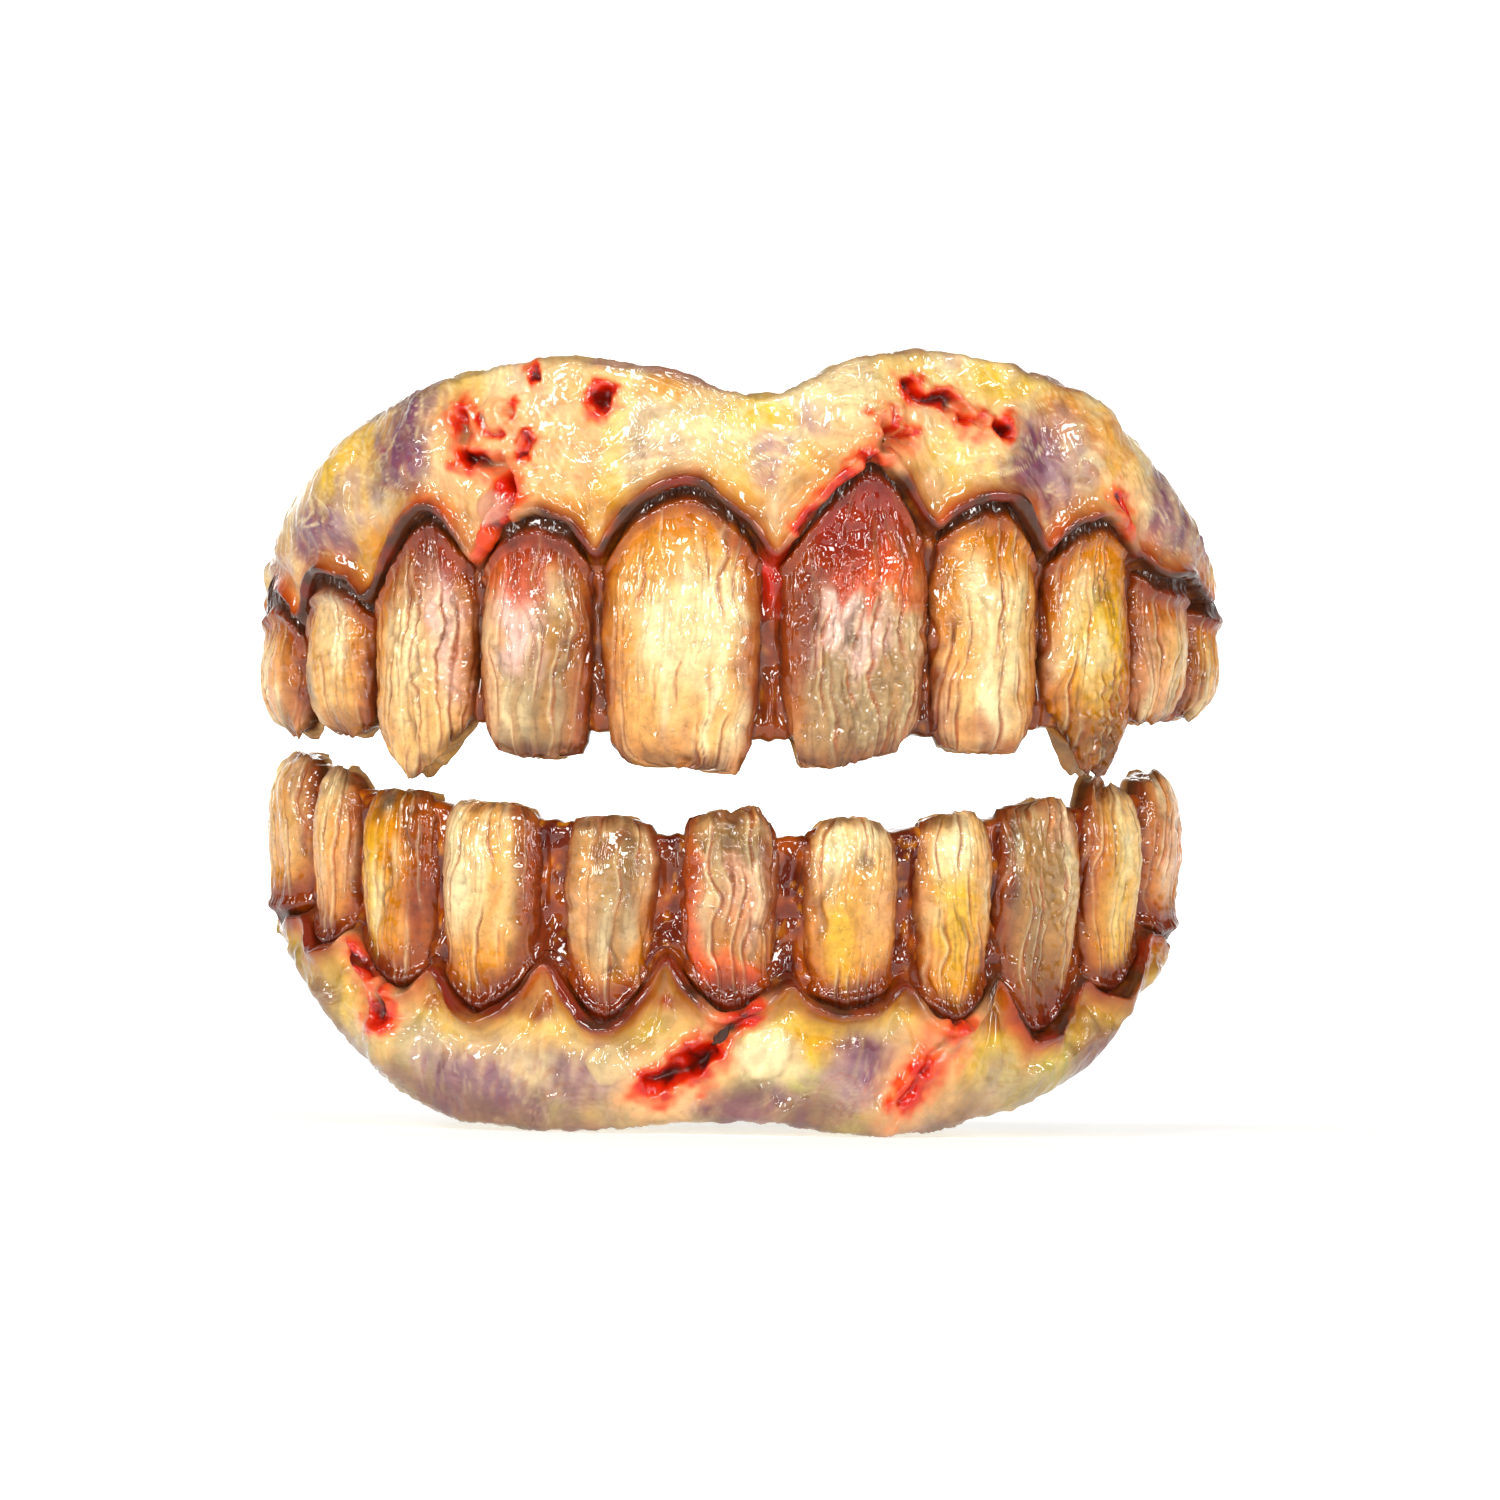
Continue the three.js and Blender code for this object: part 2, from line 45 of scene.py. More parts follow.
# Lengths on an arch are in mm: along it from the midline, out from the teeth's faces, and up from the bite to
# the rim, which is downwards on the lower arch. Its tables give shares of its reach and of its height.
UPPER = {
    "way": 1, "width": 62.6, "depth": 28.0, "front": -9.2, "offset": 0.0, "splay": 0.05,
    "reach": 42.5, "height": 26.7, "seat": (3.4, 2.2), "ridge": (0.3, 0.0), "end_gum": 0.38,
    # a tooth's cell from, to, then the gum's top over it, its point after it, the top's shift, its roundness
    "scallops": [
        (-0.976, -0.811, 0.427, 0.356, 0.20, 2.0), (-0.811, -0.641, 0.479, 0.408, 0.00, 1.9),
        (-0.641, -0.446, 0.637, 0.494, 0.20, 1.5), (-0.446, -0.259, 0.625, 0.502, 0.18, 2.0),
        (-0.246, 0.003, 0.689, 0.528, 0.00, 2.1), (0.028, 0.258, 0.768, 0.584, 0.20, 1.35),
        (0.260, 0.454, 0.678, 0.547, 0.00, 1.8), (0.454, 0.643, 0.644, 0.547, 0.10, 1.6),
        (0.643, 0.811, 0.521, 0.485, -0.30, 2.0), (0.811, 0.967, 0.464, 0.425, -0.20, 2.0),
    ],
    "rim": [
        (-1.0, 0.48), (-0.93, 0.545), (-0.85, 0.665), (-0.7, 0.825), (-0.49, 0.943), (-0.32, 0.981),
        (-0.17, 0.965), (0.0, 0.899), (0.12, 0.98), (0.27, 1.016), (0.53, 0.932), (0.68, 0.793),
        (0.82, 0.6), (0.91, 0.52), (1.0, 0.48),
    ],
    "fill": -1.6,  # how far out the resin between the teeth comes
    "bead": 0.45,  # how proud the rolled margin stands
    "plump": 1.0,  # how far the gum bulges at the sides
    "stain": 0.85,  # how far the brown stain reaches over the margin
    "collar": 1.0,  # how wide the dark band round each tooth's neck is: brown paint, and painted shade in the groove under the gum's lip
    "pour": 0.6,  # how much the brown of the resin between the teeth glows
    "tint": "peach",  # the paint in the gum's hollows
    "glow": "gold",  # the outermost of the stains along the margin
    "tinted": 0.35,  # how strongly it covers them
    "shadow": 0.9,  # how wide the painted shade along the rim, in grey and mauve, is
    "points": 0.35,  # how strongly the gum's points between the teeth are stained
    # raw places between the teeth: paint, middle, size across and up, strength
    "gaps": [("scarlet", 1.6, 13.0, 1.6, 3.0, 0.8), ("oxblood", 9.6, 13.5, 1.2, 3.0, 0.7),
             ("rust", 0.4, 8.0, 0.8, 4.0, 0.6)],
}
FACE_RECESS = 2.2  # from the teeth's faces back to the front wall
FRONT_WALL = 3.2
TROUGH = 7.6  # between the two walls
INNER_WALL = 1.8
INNER_HEIGHT = 7.5
TROUGH_FLOOR = 1.8
RIM_THICKNESS = 1.9
RIM_LEAN = 0.9  # how far the face leans back up to its rim
ROOT_SWELL = 0.45  # how proud the gum stands over a root
LIP_PROUD = 0.2
END_ROUND = 0.6  # radius at the horseshoe's two ends
COLUMN_STEP = 0.18  # between one ring of the mesh and the next


def horseshoe(arch):
    """Walks the ellipse through the faces of the teeth once, so that a length round it gives a place."""
    turn = np.linspace(-2.1, 2.1, 4001)
    x = arch["offset"] + arch["width"] / 2 * np.sin(turn)
    y = arch["front"] + arch["depth"] * (1 - np.cos(turn))
    walked = np.concatenate([[0.0], np.cumsum(np.hypot(np.diff(x), np.diff(y)))])
    arch["turn"], arch["walked"] = turn, walked - walked[2000]


def place(arch, along, out, up):
    """Metres in the model's frame of a point given in arch lengths."""
    turn = np.interp(along, arch["walked"], arch["turn"])
    run_x, run_y = arch["width"] / 2 * np.cos(turn), arch["depth"] * np.sin(turn)
    run = np.hypot(run_x, run_y)
    lean = np.clip(1 + (out + FACE_RECESS) / FRONT_WALL, 0, 1)
    proud = out - arch["splay"] * up * lean
    x = arch["offset"] + arch["width"] / 2 * np.sin(turn) + run_y / run * proud
    y = arch["front"] + arch["depth"] * (1 - np.cos(turn)) - run_x / run * proud
    return np.stack([x, y, arch["way"] * up + 0 * x], -1) / 1000


def smooth(low, high, x):
    t = np.clip((x - low) / (high - low), 0, 1)
    return t * t * (3 - 2 * t)


def lumps(x, y, size, seed):
    """Soft random hills between 0 and 1, size millimetres across."""
    x, y = np.asarray(x) / size, np.asarray(y) / size
    col, row = np.floor(x), np.floor(y)
    fx, fy = x - col, y - row
    fx, fy = fx * fx * (3 - 2 * fx), fy * fy * (3 - 2 * fy)

    def corner(i, j):
        value = np.sin(i * 127.1 + j * 311.7 + seed * 74.7) * 43758.5453
        return value - np.floor(value)

    low = corner(col, row) * (1 - fx) + corner(col + 1, row) * fx
    high = corner(col, row + 1) * (1 - fx) + corner(col + 1, row + 1) * fx
    return low * (1 - fy) + high * fy


def sway(x, y, size, seed):
    """The same hills, between -0.5 and 0.5."""
    return lumps(x, y, size, seed) - 0.5


def curve_through(rows, x):
    """A smooth curve through a table's rows, level past its ends."""
    at, value = np.array(rows).T
    wide, high = np.pad(at, 1, "edge"), np.pad(value, 1, "edge")
    slope = (high[2:] - high[:-2]) / (wide[2:] - wide[:-2])
    x = np.clip(x, at[0], at[-1])
    k = np.clip(np.searchsorted(at, x) - 1, 0, len(at) - 2)
    span = at[k + 1] - at[k]
    t = (x - at[k]) / span
    return ((2 * t**3 - 3 * t**2 + 1) * value[k] + (t**3 - 2 * t**2 + t) * span * slope[k]
            + (3 * t**2 - 2 * t**3) * value[k + 1] + (t**3 - t**2) * span * slope[k + 1])


def rim_of(arch, along):
    return curve_through(arch["rim"], along / arch["reach"]) * arch["height"]


def cells_of(arch):
    """Each tooth's own stretch of the gum: its ends, its middle, its half width and the gum line's points."""
    rows, reach, height = arch["scallops"], arch["reach"], arch["height"]
    cells = []
    for i, (low, high, gum, between, shift, point) in enumerate(rows):
        middle = (low + high) / 2
        start = (rows[i - 1][1] + low) / 2 if i else low
        stop = (high + rows[i + 1][0]) / 2 if i + 1 < len(rows) else high
        cells.append({
            "low": start * reach, "high": stop * reach, "middle": middle * reach,
            "half": (high - low) * reach / 2 - 0.2, "apex": (middle + shift * (high - low) / 2) * reach,
            "gum": gum * height, "before": (rows[i - 1][3] if i else arch["end_gum"]) * height,
            "after": between * height, "point": point,
        })
    return cells


def gum_line(arch, along):
    """Height of the gum's scalloped edge, its points a little rounded."""
    def sharp(x):
        line = np.full(np.shape(x), 0.0)
        cells = cells_of(arch)
        for i, cell in enumerate(cells):
            left = x < cell["apex"]
            side = np.where(left, cell["low"], cell["high"])
            between = np.where(left, cell["before"], cell["after"])
            away = np.clip((x - cell["apex"]) / (side - cell["apex"]), 0, 1)
            value = between + (cell["gum"] - between) * (1 - away ** cell["point"])
            inside = (x > (cell["low"] if i else -99)) & (x <= (cell["high"] if i + 1 < len(cells) else 99))
            line = np.where(inside, value, line)
        return line

    along = np.asarray(along, dtype=float)
    line = sum(sharp(along + shift) for shift in (-0.45, -0.15, 0.15, 0.45)) / 4
    return line + 0.5 * sway(along, 0, 2.3, 3) + 0.25 * sway(along, 0, 0.9, 4)


def reach_of(along, up, path, size, seed):
    """Distance in millimetres from a ragged line drawn on the gum, less its half width."""
    shaky = 0.8 * size + 0.25
    along = along + shaky * sway(along, up, 0.9, seed) + 0.3 * shaky * sway(along, up, 0.4, seed + 1)
    up = up + shaky * sway(along, up, 0.9, seed + 2) + 0.3 * shaky * sway(along, up, 0.4, seed + 3)
    far = np.full(np.shape(along), 99.0)
    for (ax, ay), (bx, by) in zip(path[:-1], path[1:]):
        span = (bx - ax) ** 2 + (by - ay) ** 2 + 1e-9
        t = np.clip(((along - ax) * (bx - ax) + (up - ay) * (by - ay)) / span, 0, 1)
        far = np.minimum(far, np.hypot(along - ax - t * (bx - ax), up - ay - t * (by - ay)))
    return far - size


def round_corners(grids, loose, times):
    """Rounds the rings at the points that are loose."""
    for _ in range(times):
        for values in grids:
            relaxed = (np.roll(values, 1, 1) + 2 * values + np.roll(values, -1, 1)) / 4
            values[:, loose] = relaxed[:, loose]


def linear(code):
    """Linear colour of an sRGB hex value."""
    value = np.array([int(code[i:i + 2], 16) for i in (1, 3, 5)]) / 255
    return np.where(value <= 0.04045, value / 12.92, ((value + 0.055) / 1.055) ** 2.4)


# The paints of the whole set, thinned acrylics.
PAINT = {name: linear(code) for name, code in {
    "ivory": "#f3dca6", "cream": "#e0ae68", "bone": "#d2b67e", "peach": "#e6a468", "lemon": "#e2b42c",
    "gold": "#d08008", "amber": "#a04400", "orange": "#e04408", "scarlet": "#c41400", "brick": "#8a1c06",
    "rust": "#742400", "oxblood": "#4c0802", "umber": "#42200c", "walnut": "#703a08", "taupe": "#846238",
    # the pale pink blush is partly paint and partly a painted sheen, the lacquer's reflection on the teeth
    "ash": "#b98f5c", "pink": "#e09c82", "blush": "#efc2b4", "mauve": "#74445a", "lilac": "#ab8786",
    "moss": "#aaa456",
}.items()}


def wash(colour, *coats):
    """Lays thin coats over the colours under them, each given by its paint and how far it covers."""
    for paint, amount in coats:
        amount = np.clip(amount, 0, 1)[..., None]
        colour = colour * (1 - amount) + PAINT[paint] * amount
    return colour


def blot(along, up, at_along, at_up, wide, tall, seed):
    """How strongly a brushed patch of paint covers each point: ragged, and longer up than across."""
    off_along = along - at_along + 1.6 * sway(along, up, 1.6, seed) + 0.7 * sway(along, up, 0.6, seed + 1)
    off_up = up - at_up + 1.8 * sway(along, up, 2.1, seed + 2)
    far = np.hypot(off_along / wide, off_up / tall)
    hairs = 0.72 + 0.6 * (lumps(along + 0.25 * up, up * 0.3, 0.4, seed + 3) - 0.3)
    return (1 - smooth(0.5, 1.45, far)) * np.clip(hairs, 0, 1.1)


def strokes(along, up, seed):
    """Short slanting brush strokes that cover the gum, between -0.5 and 0.5."""
    bend = 2.2 * sway(along, up, 5.5, seed)
    across = along * np.cos(bend) + up * np.sin(bend)
    down = up * np.cos(bend) - along * np.sin(bend)
    broad, fine = lumps(across, down * 0.35, 0.8, seed + 1), lumps(across, down * 0.4, 0.4, seed + 2)
    return 0.6 * broad + 0.4 * fine - 0.5


def cast_mesh(name, points, colours):
    """A closed skin over a grid of rings, its two ends flat, with the paint on its points."""
    rows, count = points.shape[:2]
    grid = np.arange(rows * count).reshape(rows, count)
    beside = np.roll(grid, -1, axis=1)
    quads = np.stack([grid[:-1], beside[:-1], beside[1:], grid[1:]], -1).reshape(-1, 4)
    faces = quads.tolist() + [grid[0][::-1].tolist(), grid[-1].tolist()]
    mesh = bpy.data.meshes.new(name)
    mesh.from_pydata(points.reshape(-1, 3).tolist(), [], faces)
    paint = mesh.color_attributes.new("paint", "FLOAT_COLOR", "POINT")
    rgba = np.concatenate([colours.reshape(-1, 3), np.ones((rows * count, 1))], 1)
    paint.data.foreach_set("color", rgba.astype(np.float32).ravel())
    mesh.polygons.foreach_set("use_smooth", [True] * len(quads) + [False] * 2)
    mesh.update()
    piece = bpy.data.objects.new(name, mesh)
    bpy.context.scene.collection.objects.link(piece)
    return piece


def raised(along, out, up, height):
    """Lifts a grid of rings by height along its own surface's outward direction."""
    grid = np.stack([along, out, up], -1)
    round_it = np.roll(grid, -1, axis=1) - np.roll(grid, 1, axis=1)
    forward = np.gradient(grid, axis=0)
    normal = np.cross(round_it, forward)
    normal /= np.linalg.norm(normal, axis=-1, keepdims=True) + 1e-9
    outward = 1 if np.sum(normal * (grid - grid.mean(1, keepdims=True))) > 0 else -1
    lifted = grid + outward * normal * height[..., None]
    return lifted[..., 0], lifted[..., 1], lifted[..., 2]


def cast_gum(arch, sores, flesh, blots):
    """The gum's rings, one column of the horseshoe each, with their relief and paint."""
    reach, fill = arch["reach"], arch["fill"]
    count = int(2 * reach / COLUMN_STEP) + 1
    columns = np.linspace(-reach, reach, count)
    line, rim = gum_line(arch, columns), rim_of(arch, columns)
    beyond = np.clip(np.abs(columns) - 5, 0, None) / (reach - 5)
    seat = arch["seat"][0] + arch["seat"][1] * beyond
    ridge = seat - arch["ridge"][0] - arch["ridge"][1] * beyond
    slope = np.gradient(line, columns)
    roll = 0.42 * np.sqrt(1 + np.clip(slope, -2, 2) ** 2)  # height that the rolled margin takes up
    swell = np.zeros(count)
    for cell in cells_of(arch):
        side = np.where(columns < cell["middle"], cell["low"], cell["high"])
        away = np.clip((columns - cell["middle"]) / (side - cell["middle"]), 0, 1)
        inside = (columns > cell["low"]) & (columns <= cell["high"])
        swell = np.where(inside, ROOT_SWELL * np.cos(np.pi * away), swell)
    inner = FACE_RECESS + FRONT_WALL + TROUGH
    top = seat + INNER_HEIGHT
    near_end = smooth(0.78, 0.97, np.abs(columns) / reach)
    swell = swell * (1 - near_end)
    lip = LIP_PROUD + swell - 1.25 * near_end
    back = -FACE_RECESS - FRONT_WALL
    flare = LIP_PROUD - RIM_LEAN - RIM_THICKNESS

    # the points where a ring's face, its lip, the resin between the teeth and the ridge behind end
    face_end, lip_end, fill_end, ridge_end = 66, 78, 104, 112
    # the stretches after the face: where each starts in out and up, and how many points it has
    stretches = [
        (lip, line, lip_end - face_end), (fill, line - roll, fill_end - lip_end),
        (fill - 0.25, ridge, ridge_end - fill_end), (back + 1.0, ridge, 4), (back, seat, 12),
        (-inner - INNER_WALL, seat, 12), (-inner - INNER_WALL, top, 4), (-inner, top, 9),
        (-inner, seat + TROUGH_FLOOR, 10), (back, seat + TROUGH_FLOOR, 10), (back, line - 1.2, 12),
        (flare, rim, 6),
    ]
    share = np.linspace(1, 0, face_end, endpoint=False)[None, :]
    side = smooth(0.3, 0.65, np.abs(columns) / reach) * (1 - near_end)
    plump = arch["plump"] * side[:, None] * np.sin(np.pi * share**1.5) ** 0.8
    outs = [lip[:, None] * (1 - share) + LIP_PROUD * share - RIM_LEAN * share**2 + plump]
    ups = [line[:, None] + (rim - line)[:, None] * share]
    ends = stretches[1:] + [(LIP_PROUD - RIM_LEAN, rim, 0)]
    for (out0, up0, points), (out1, up1, _) in zip(stretches, ends):
        t = np.linspace(0, 1, points, endpoint=False)[None, :]
        a, b, c, d = [np.broadcast_to(value, (count,))[:, None] for value in (out0, out1, up0, up1)]
        outs.append(a + (b - a) * t)
        ups.append(c + (d - c) * t)
    out, up = np.concatenate(outs, 1), np.concatenate(ups, 1)
    along = np.broadcast_to(columns[:, None], out.shape)

    # corners rounded, the face left as it is
    loose = np.ones(out.shape[1], bool)
    loose[4:face_end - 4] = False
    round_corners((out, up), loose, 4)

    # relief: lumps all over, stronger on the face, the margin's bead, sores and blisters
    part = np.arange(out.shape[1])[None, :]
    on_face = 1 - smooth(face_end - 4, face_end + 8, part) + smooth(out.shape[1] - 6, out.shape[1], part)
    in_fill = smooth(face_end - 2, lip_end, part) * (1 - smooth(fill_end, ridge_end, part))
    step_out, step_up = [np.diff(values, axis=1, prepend=values[:, -1:]) for values in (out, up)]
    high = np.where(part < ridge_end - 2, up, up[:, :1] - np.cumsum(np.hypot(step_out, step_up), 1))
    bend_a = along + 1.2 * sway(along, high, 3.1, 21)
    bend_b = high + 1.2 * sway(along, high, 2.7, 22)
    height = on_face * (
        0.5 * sway(bend_a, bend_b, 3.4, 5) + 0.32 * sway(bend_a, bend_b, 1.4, 6)
        + 0.2 * strokes(along, high, 40) + 0.1 * sway(along, high, 0.5, 7)
    ) + (1 - on_face) * 0.10 * sway(along, high, 1.6, 8)
    away = np.min([np.abs(columns - cell["high"]) for cell in cells_of(arch)], axis=0)[:, None]
    cord = np.exp(-((away + 0.4 * sway(along, high, 1.3, 11)) / 0.36) ** 2) * lumps(0, high, 1.1, 12)
    height = height + in_fill * (
        0.35 * sway(along, high, 1.7, 9) + 0.3 * sway(along, high, 0.55, 10) + 0.5 * cord
        + 0.3 * smooth(1.4, 0.2, np.abs(high - line[:, None] + roll[:, None] + 0.6))
    )
    tilt = np.sqrt(1 + np.clip(slope, -2, 2) ** 2)[:, None]
    off = (up - line[:, None]) / tilt  # distance from the gum line, on its own slant
    ragged = off + 0.35 * sway(along, up, 1.3, 31)
    rolled = np.exp(-((off - 0.3) / 0.35) ** 2) * (0.7 + 0.6 * lumps(along, up, 2.2, 32))
    furrow = 0.5 * np.exp(-((off - 1.5) / 0.6) ** 2)
    height = height + on_face * arch["bead"] * (rolled * (1 - near_end[:, None]) - furrow)

    # paint from the ground coat up
    shade = lumps(bend_a, bend_b, 4.2, 51)
    brush = strokes(along, high, 60)
    colour = wash(
        np.ones((*out.shape, 3)) * PAINT["bone"],
        (arch["tint"], arch["tinted"] * smooth(0.6, 0.2, shade + 0.3 * brush)),
        ("ivory", 0.6 * smooth(0.35, 0.85, shade + 0.4 * brush)),
        ("cream", 0.55 * (1.1 - arch["tinted"]) * smooth(0, 0.35, brush + 0.35 * sway(along, high, 2.4, 52))),
    )
    for paint, amount, size, seed in (
        ("lemon", 0.5, 2.4, 53), ("lilac", 0.45, 2.0, 54), ("taupe", 0.25, 1.5, 55),
    ):
        patch = lumps(bend_a, 0.6 * bend_b, size, seed) + 0.5 * brush
        colour = wash(colour, (paint, on_face * amount * smooth(0.62, 0.95, patch)))
    for i, (paint, x, y, wide, tall, amount) in enumerate(blots):
        grown = 1.35 if paint == "mauve" else 1.15
        patch = blot(along, up, x, y, grown * wide, grown * tall, 70 + 5 * i)
        colour = wash(colour, (paint, on_face * 1.2 * amount * patch))
    hairs = strokes(1.7 * along, 1.7 * high, 95)
    # painted shade: the gum darkens to grey and mauve towards its rim
    to_rim = (rim[:, None] - up) / arch["shadow"] + 0.8 * sway(along, up, 2.6, 43)
    # its points between the teeth are stained down to a little under the gum line's tops
    tops = np.array([(cell["middle"], cell["gum"]) for cell in cells_of(arch)])
    under_tops = np.interp(columns, *tops.T)[:, None] + 0.35 - up + 1.6 * sway(along, up, 1.5, 41)
    pointed = arch["points"] * on_face
    # and the margin all along it
    near = on_face * (0.6 + 0.6 * lumps(along, up, 1.7, 33))
    far_off = np.clip(ragged, 0, None) / arch["stain"]
    # the resin between the teeth is dark, and lets brown and red light through where it was poured thick; the
    # same dark umber runs up under the gum's rolled lip as painted shade
    inside = smooth(0.42, 0.12, ragged + 0.25 * sway(along, up, 0.6, 38)) * (part < ridge_end)
    poured = inside * in_fill * arch["pour"]
    speckle = lumps(along, high, 0.45, 34)
    colour = wash(
        colour,
        ("ivory", on_face * (0.7 - 0.6 * arch["tinted"]) * smooth(0.12, 0.3, strokes(along, high, 90))),
        ("amber", on_face * 0.25 * smooth(-0.08, -0.3, hairs)),
        ("ivory", on_face * (0.4 - 0.4 * arch["tinted"]) * smooth(0.1, 0.3, hairs)),
        # painted shade towards the rim, in taupe and mauve
        ("taupe", on_face * 0.6 * smooth(1.0, 0.1, to_rim + 0.4 * brush)),
        ("mauve", on_face * 0.5 * smooth(0.6, 0.0, to_rim) * smooth(0.3, 0.6, lumps(along, up, 3.3, 44))),
        (arch["glow"], pointed * 0.4 * smooth(-1.6, 0.4, under_tops)),
        ("amber", pointed * 0.7 * smooth(-0.2, 1.0, under_tops) * (0.6 + 0.5 * brush)),
        ("brick", pointed * 0.85 * smooth(-0.1, 1.3, under_tops) * (0.75 + 0.6 * brush)),
        (arch["glow"], near * 0.55 * np.exp(-(far_off / 1.8) ** 2)),
        ("amber", near * 1.1 * np.exp(-far_off**2)),
        ("orange", 0.7 * near * np.exp(-far_off**2) * smooth(0.5, 0.8, lumps(along, up, 3.1, 42))),
        ("rust", near * 1.2 * np.exp(-(far_off / 0.6) ** 2)),
        # umber: the dark resin between the teeth, and painted shade under the gum's rolled lip
        ("umber", inside * 0.95),
        ("brick", inside * on_face * 0.7 * smooth(0.45, 0.75, lumps(along, up, 1.9, 37))),
        ("rust", poured * (0.5 + 0.5 * lumps(along, high, 1.9, 36))),
        ("amber", poured * 0.9 * smooth(0.35, 0.7, 0.6 * lumps(along, high, 1.3, 35) + 0.4 * speckle)),
        ("oxblood", poured * 0.8 * smooth(0.55, 0.8, lumps(along, high, 1.5, 39))),
        ("gold", poured * 0.6 * smooth(0.74, 0.92, speckle)),
    )
    for i, (paint, x, y, wide, tall, amount) in enumerate(arch["gaps"]):
        colour = wash(colour, (paint, inside * amount * blot(along, up, x, y, wide, tall, 500 + 5 * i)))
    for i, (path, size, deep, halo) in enumerate(sores):
        far = reach_of(along, up, path, size, 200 + 7 * i)
        keep = on_face * (up > line[:, None] - 1.0)
        height = height - keep * deep * smooth(0.15, -0.9 * size, far)
        height = height + keep * 0.22 * np.exp(-((far - 0.35) / 0.3) ** 2)
        fray = far + 0.8 * sway(along, up, 0.8, 300 + i) + 0.5 * sway(along, up, 0.35, 320 + i)
        core = fray + 0.3 * sway(along, up, 0.7, 340 + i)
        colour = wash(
            colour,
            ("peach", keep * 0.6 * smooth(halo * 2.2, halo * 0.6, fray)),
            ("orange", keep * 0.95 * smooth(halo * 1.2, halo * 0.3, fray)),
            ("scarlet", keep * 0.95 * smooth(halo * 0.6, halo * 0.05, fray)),
            ("oxblood", keep * 0.9 * smooth(-0.1, -0.1 - 0.6 * size, core)),
            ("umber", keep * 0.3 * smooth(-0.1 - 0.3 * size, -0.1 - 0.8 * size, far)),
        )
    for (x, y), radius, lift, paint in flesh:
        far = np.hypot(along - x, up - y) / radius + 0.3 * sway(along, up, 0.8, 350)
        dome = on_face * np.sqrt(np.clip(1 - far**2, 0, 1))
        height = height + lift * dome
        colour = wash(colour, (paint, 0.75 * smooth(0.1, 0.7, dome)))

    # the two ends rounded by drawing the last rings in
    left = np.clip((END_ROUND - (reach - np.abs(columns))) / END_ROUND, 0, 1)
    inset = END_ROUND * (1 - np.sqrt(1 - left**2))
    along, out, up = raised(along, out, up, height - 0.8 * inset[:, None])
    along = np.clip(along, -reach, reach)
    return place(arch, along, out, up), colour


def node(tree, kind, settings=None, **links):
    """Adds a node: its settings, then a value or another node's output for each input by name, or by number
    as i0 and i1."""
    made = tree.nodes.new(kind)
    for key, value in (settings or {}).items():
        setattr(made, key, value)
    for key, value in links.items():
        socket = made.inputs[int(key[1]) if key in ("i0", "i1") else key.replace("_", " ")]
        if isinstance(value, bpy.types.NodeSocket):
            tree.links.new(value, socket)
        else:
            socket.default_value = value
    return made


def set_inputs(shader, values):
    """Gives a shader's inputs their uniform values."""
    for name, value in values.items():
        shader.inputs[name].default_value = value


def lacquered_resin(name, mottle, grain, freckle, bumps, roughness):
    """Cast polyester resin under hand-brushed acrylic and thick gloss lacquer: the paint breaks up into small
    mottles, and the lacquer's own ripple splits each highlight into glints. The sizes are in mm."""
    material = bpy.data.materials.new(name)
    material.use_nodes = True
    tree = material.node_tree
    shader = tree.nodes["Principled BSDF"]
    where = node(tree, "ShaderNodeTexCoord").outputs["Object"]
    paint = node(tree, "ShaderNodeAttribute", {"attribute_name": "paint"}).outputs["Color"]

    def noise(size, detail, rough):
        made = node(tree, "ShaderNodeTexNoise", Vector=where, Scale=1000 / size, Detail=detail,
                    Roughness=rough)
        return made.outputs["Fac"]

    def between(value, low, high, low_to, high_to):
        made = node(tree, "ShaderNodeMapRange", Value=value, From_Min=low, From_Max=high, To_Min=low_to,
                    To_Max=high_to)
        return made.outputs["Result"]

    clouds, dots = noise(mottle, 3.0, 0.6), noise(grain, 2.0, 0.7)
    light, dark = between(clouds, 0.3, 0.7, 0.76, 1.18), between(dots, 0.3, 0.45, freckle, 1.0)
    shade = node(tree, "ShaderNodeMath", {"operation": "MULTIPLY"}, i0=light, i1=dark).outputs[0]
    mixed = node(tree, "ShaderNodeVectorMath", {"operation": "SCALE"}, i0=paint, Scale=shade)
    ripple = node(tree, "ShaderNodeBump", Strength=0.55, Distance=0.00012, Height=noise(bumps, 4.0, 0.65))
    pool = node(tree, "ShaderNodeBump", Strength=0.35, Distance=0.00008, Height=noise(1.6 * bumps, 1.0, 0.5))
    tree.links.new(mixed.outputs["Vector"], shader.inputs["Base Color"])
    tree.links.new(ripple.outputs["Normal"], shader.inputs["Normal"])
    tree.links.new(pool.outputs["Normal"], shader.inputs["Coat Normal"])
    dull = between(clouds, 0.3, 0.7, roughness - 0.07, roughness + 0.1)
    tree.links.new(dull, shader.inputs["Roughness"])
    set_inputs(shader, {
        "IOR": 1.5, "Specular IOR Level": 0.05, "Coat Weight": 1.0, "Coat Roughness": 0.04, "Coat IOR": 1.52,
    })
    return material


def finished(piece, material, name):
    piece.data.materials.append(material)
    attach(piece, "root")
    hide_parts(name)


horseshoe(UPPER)
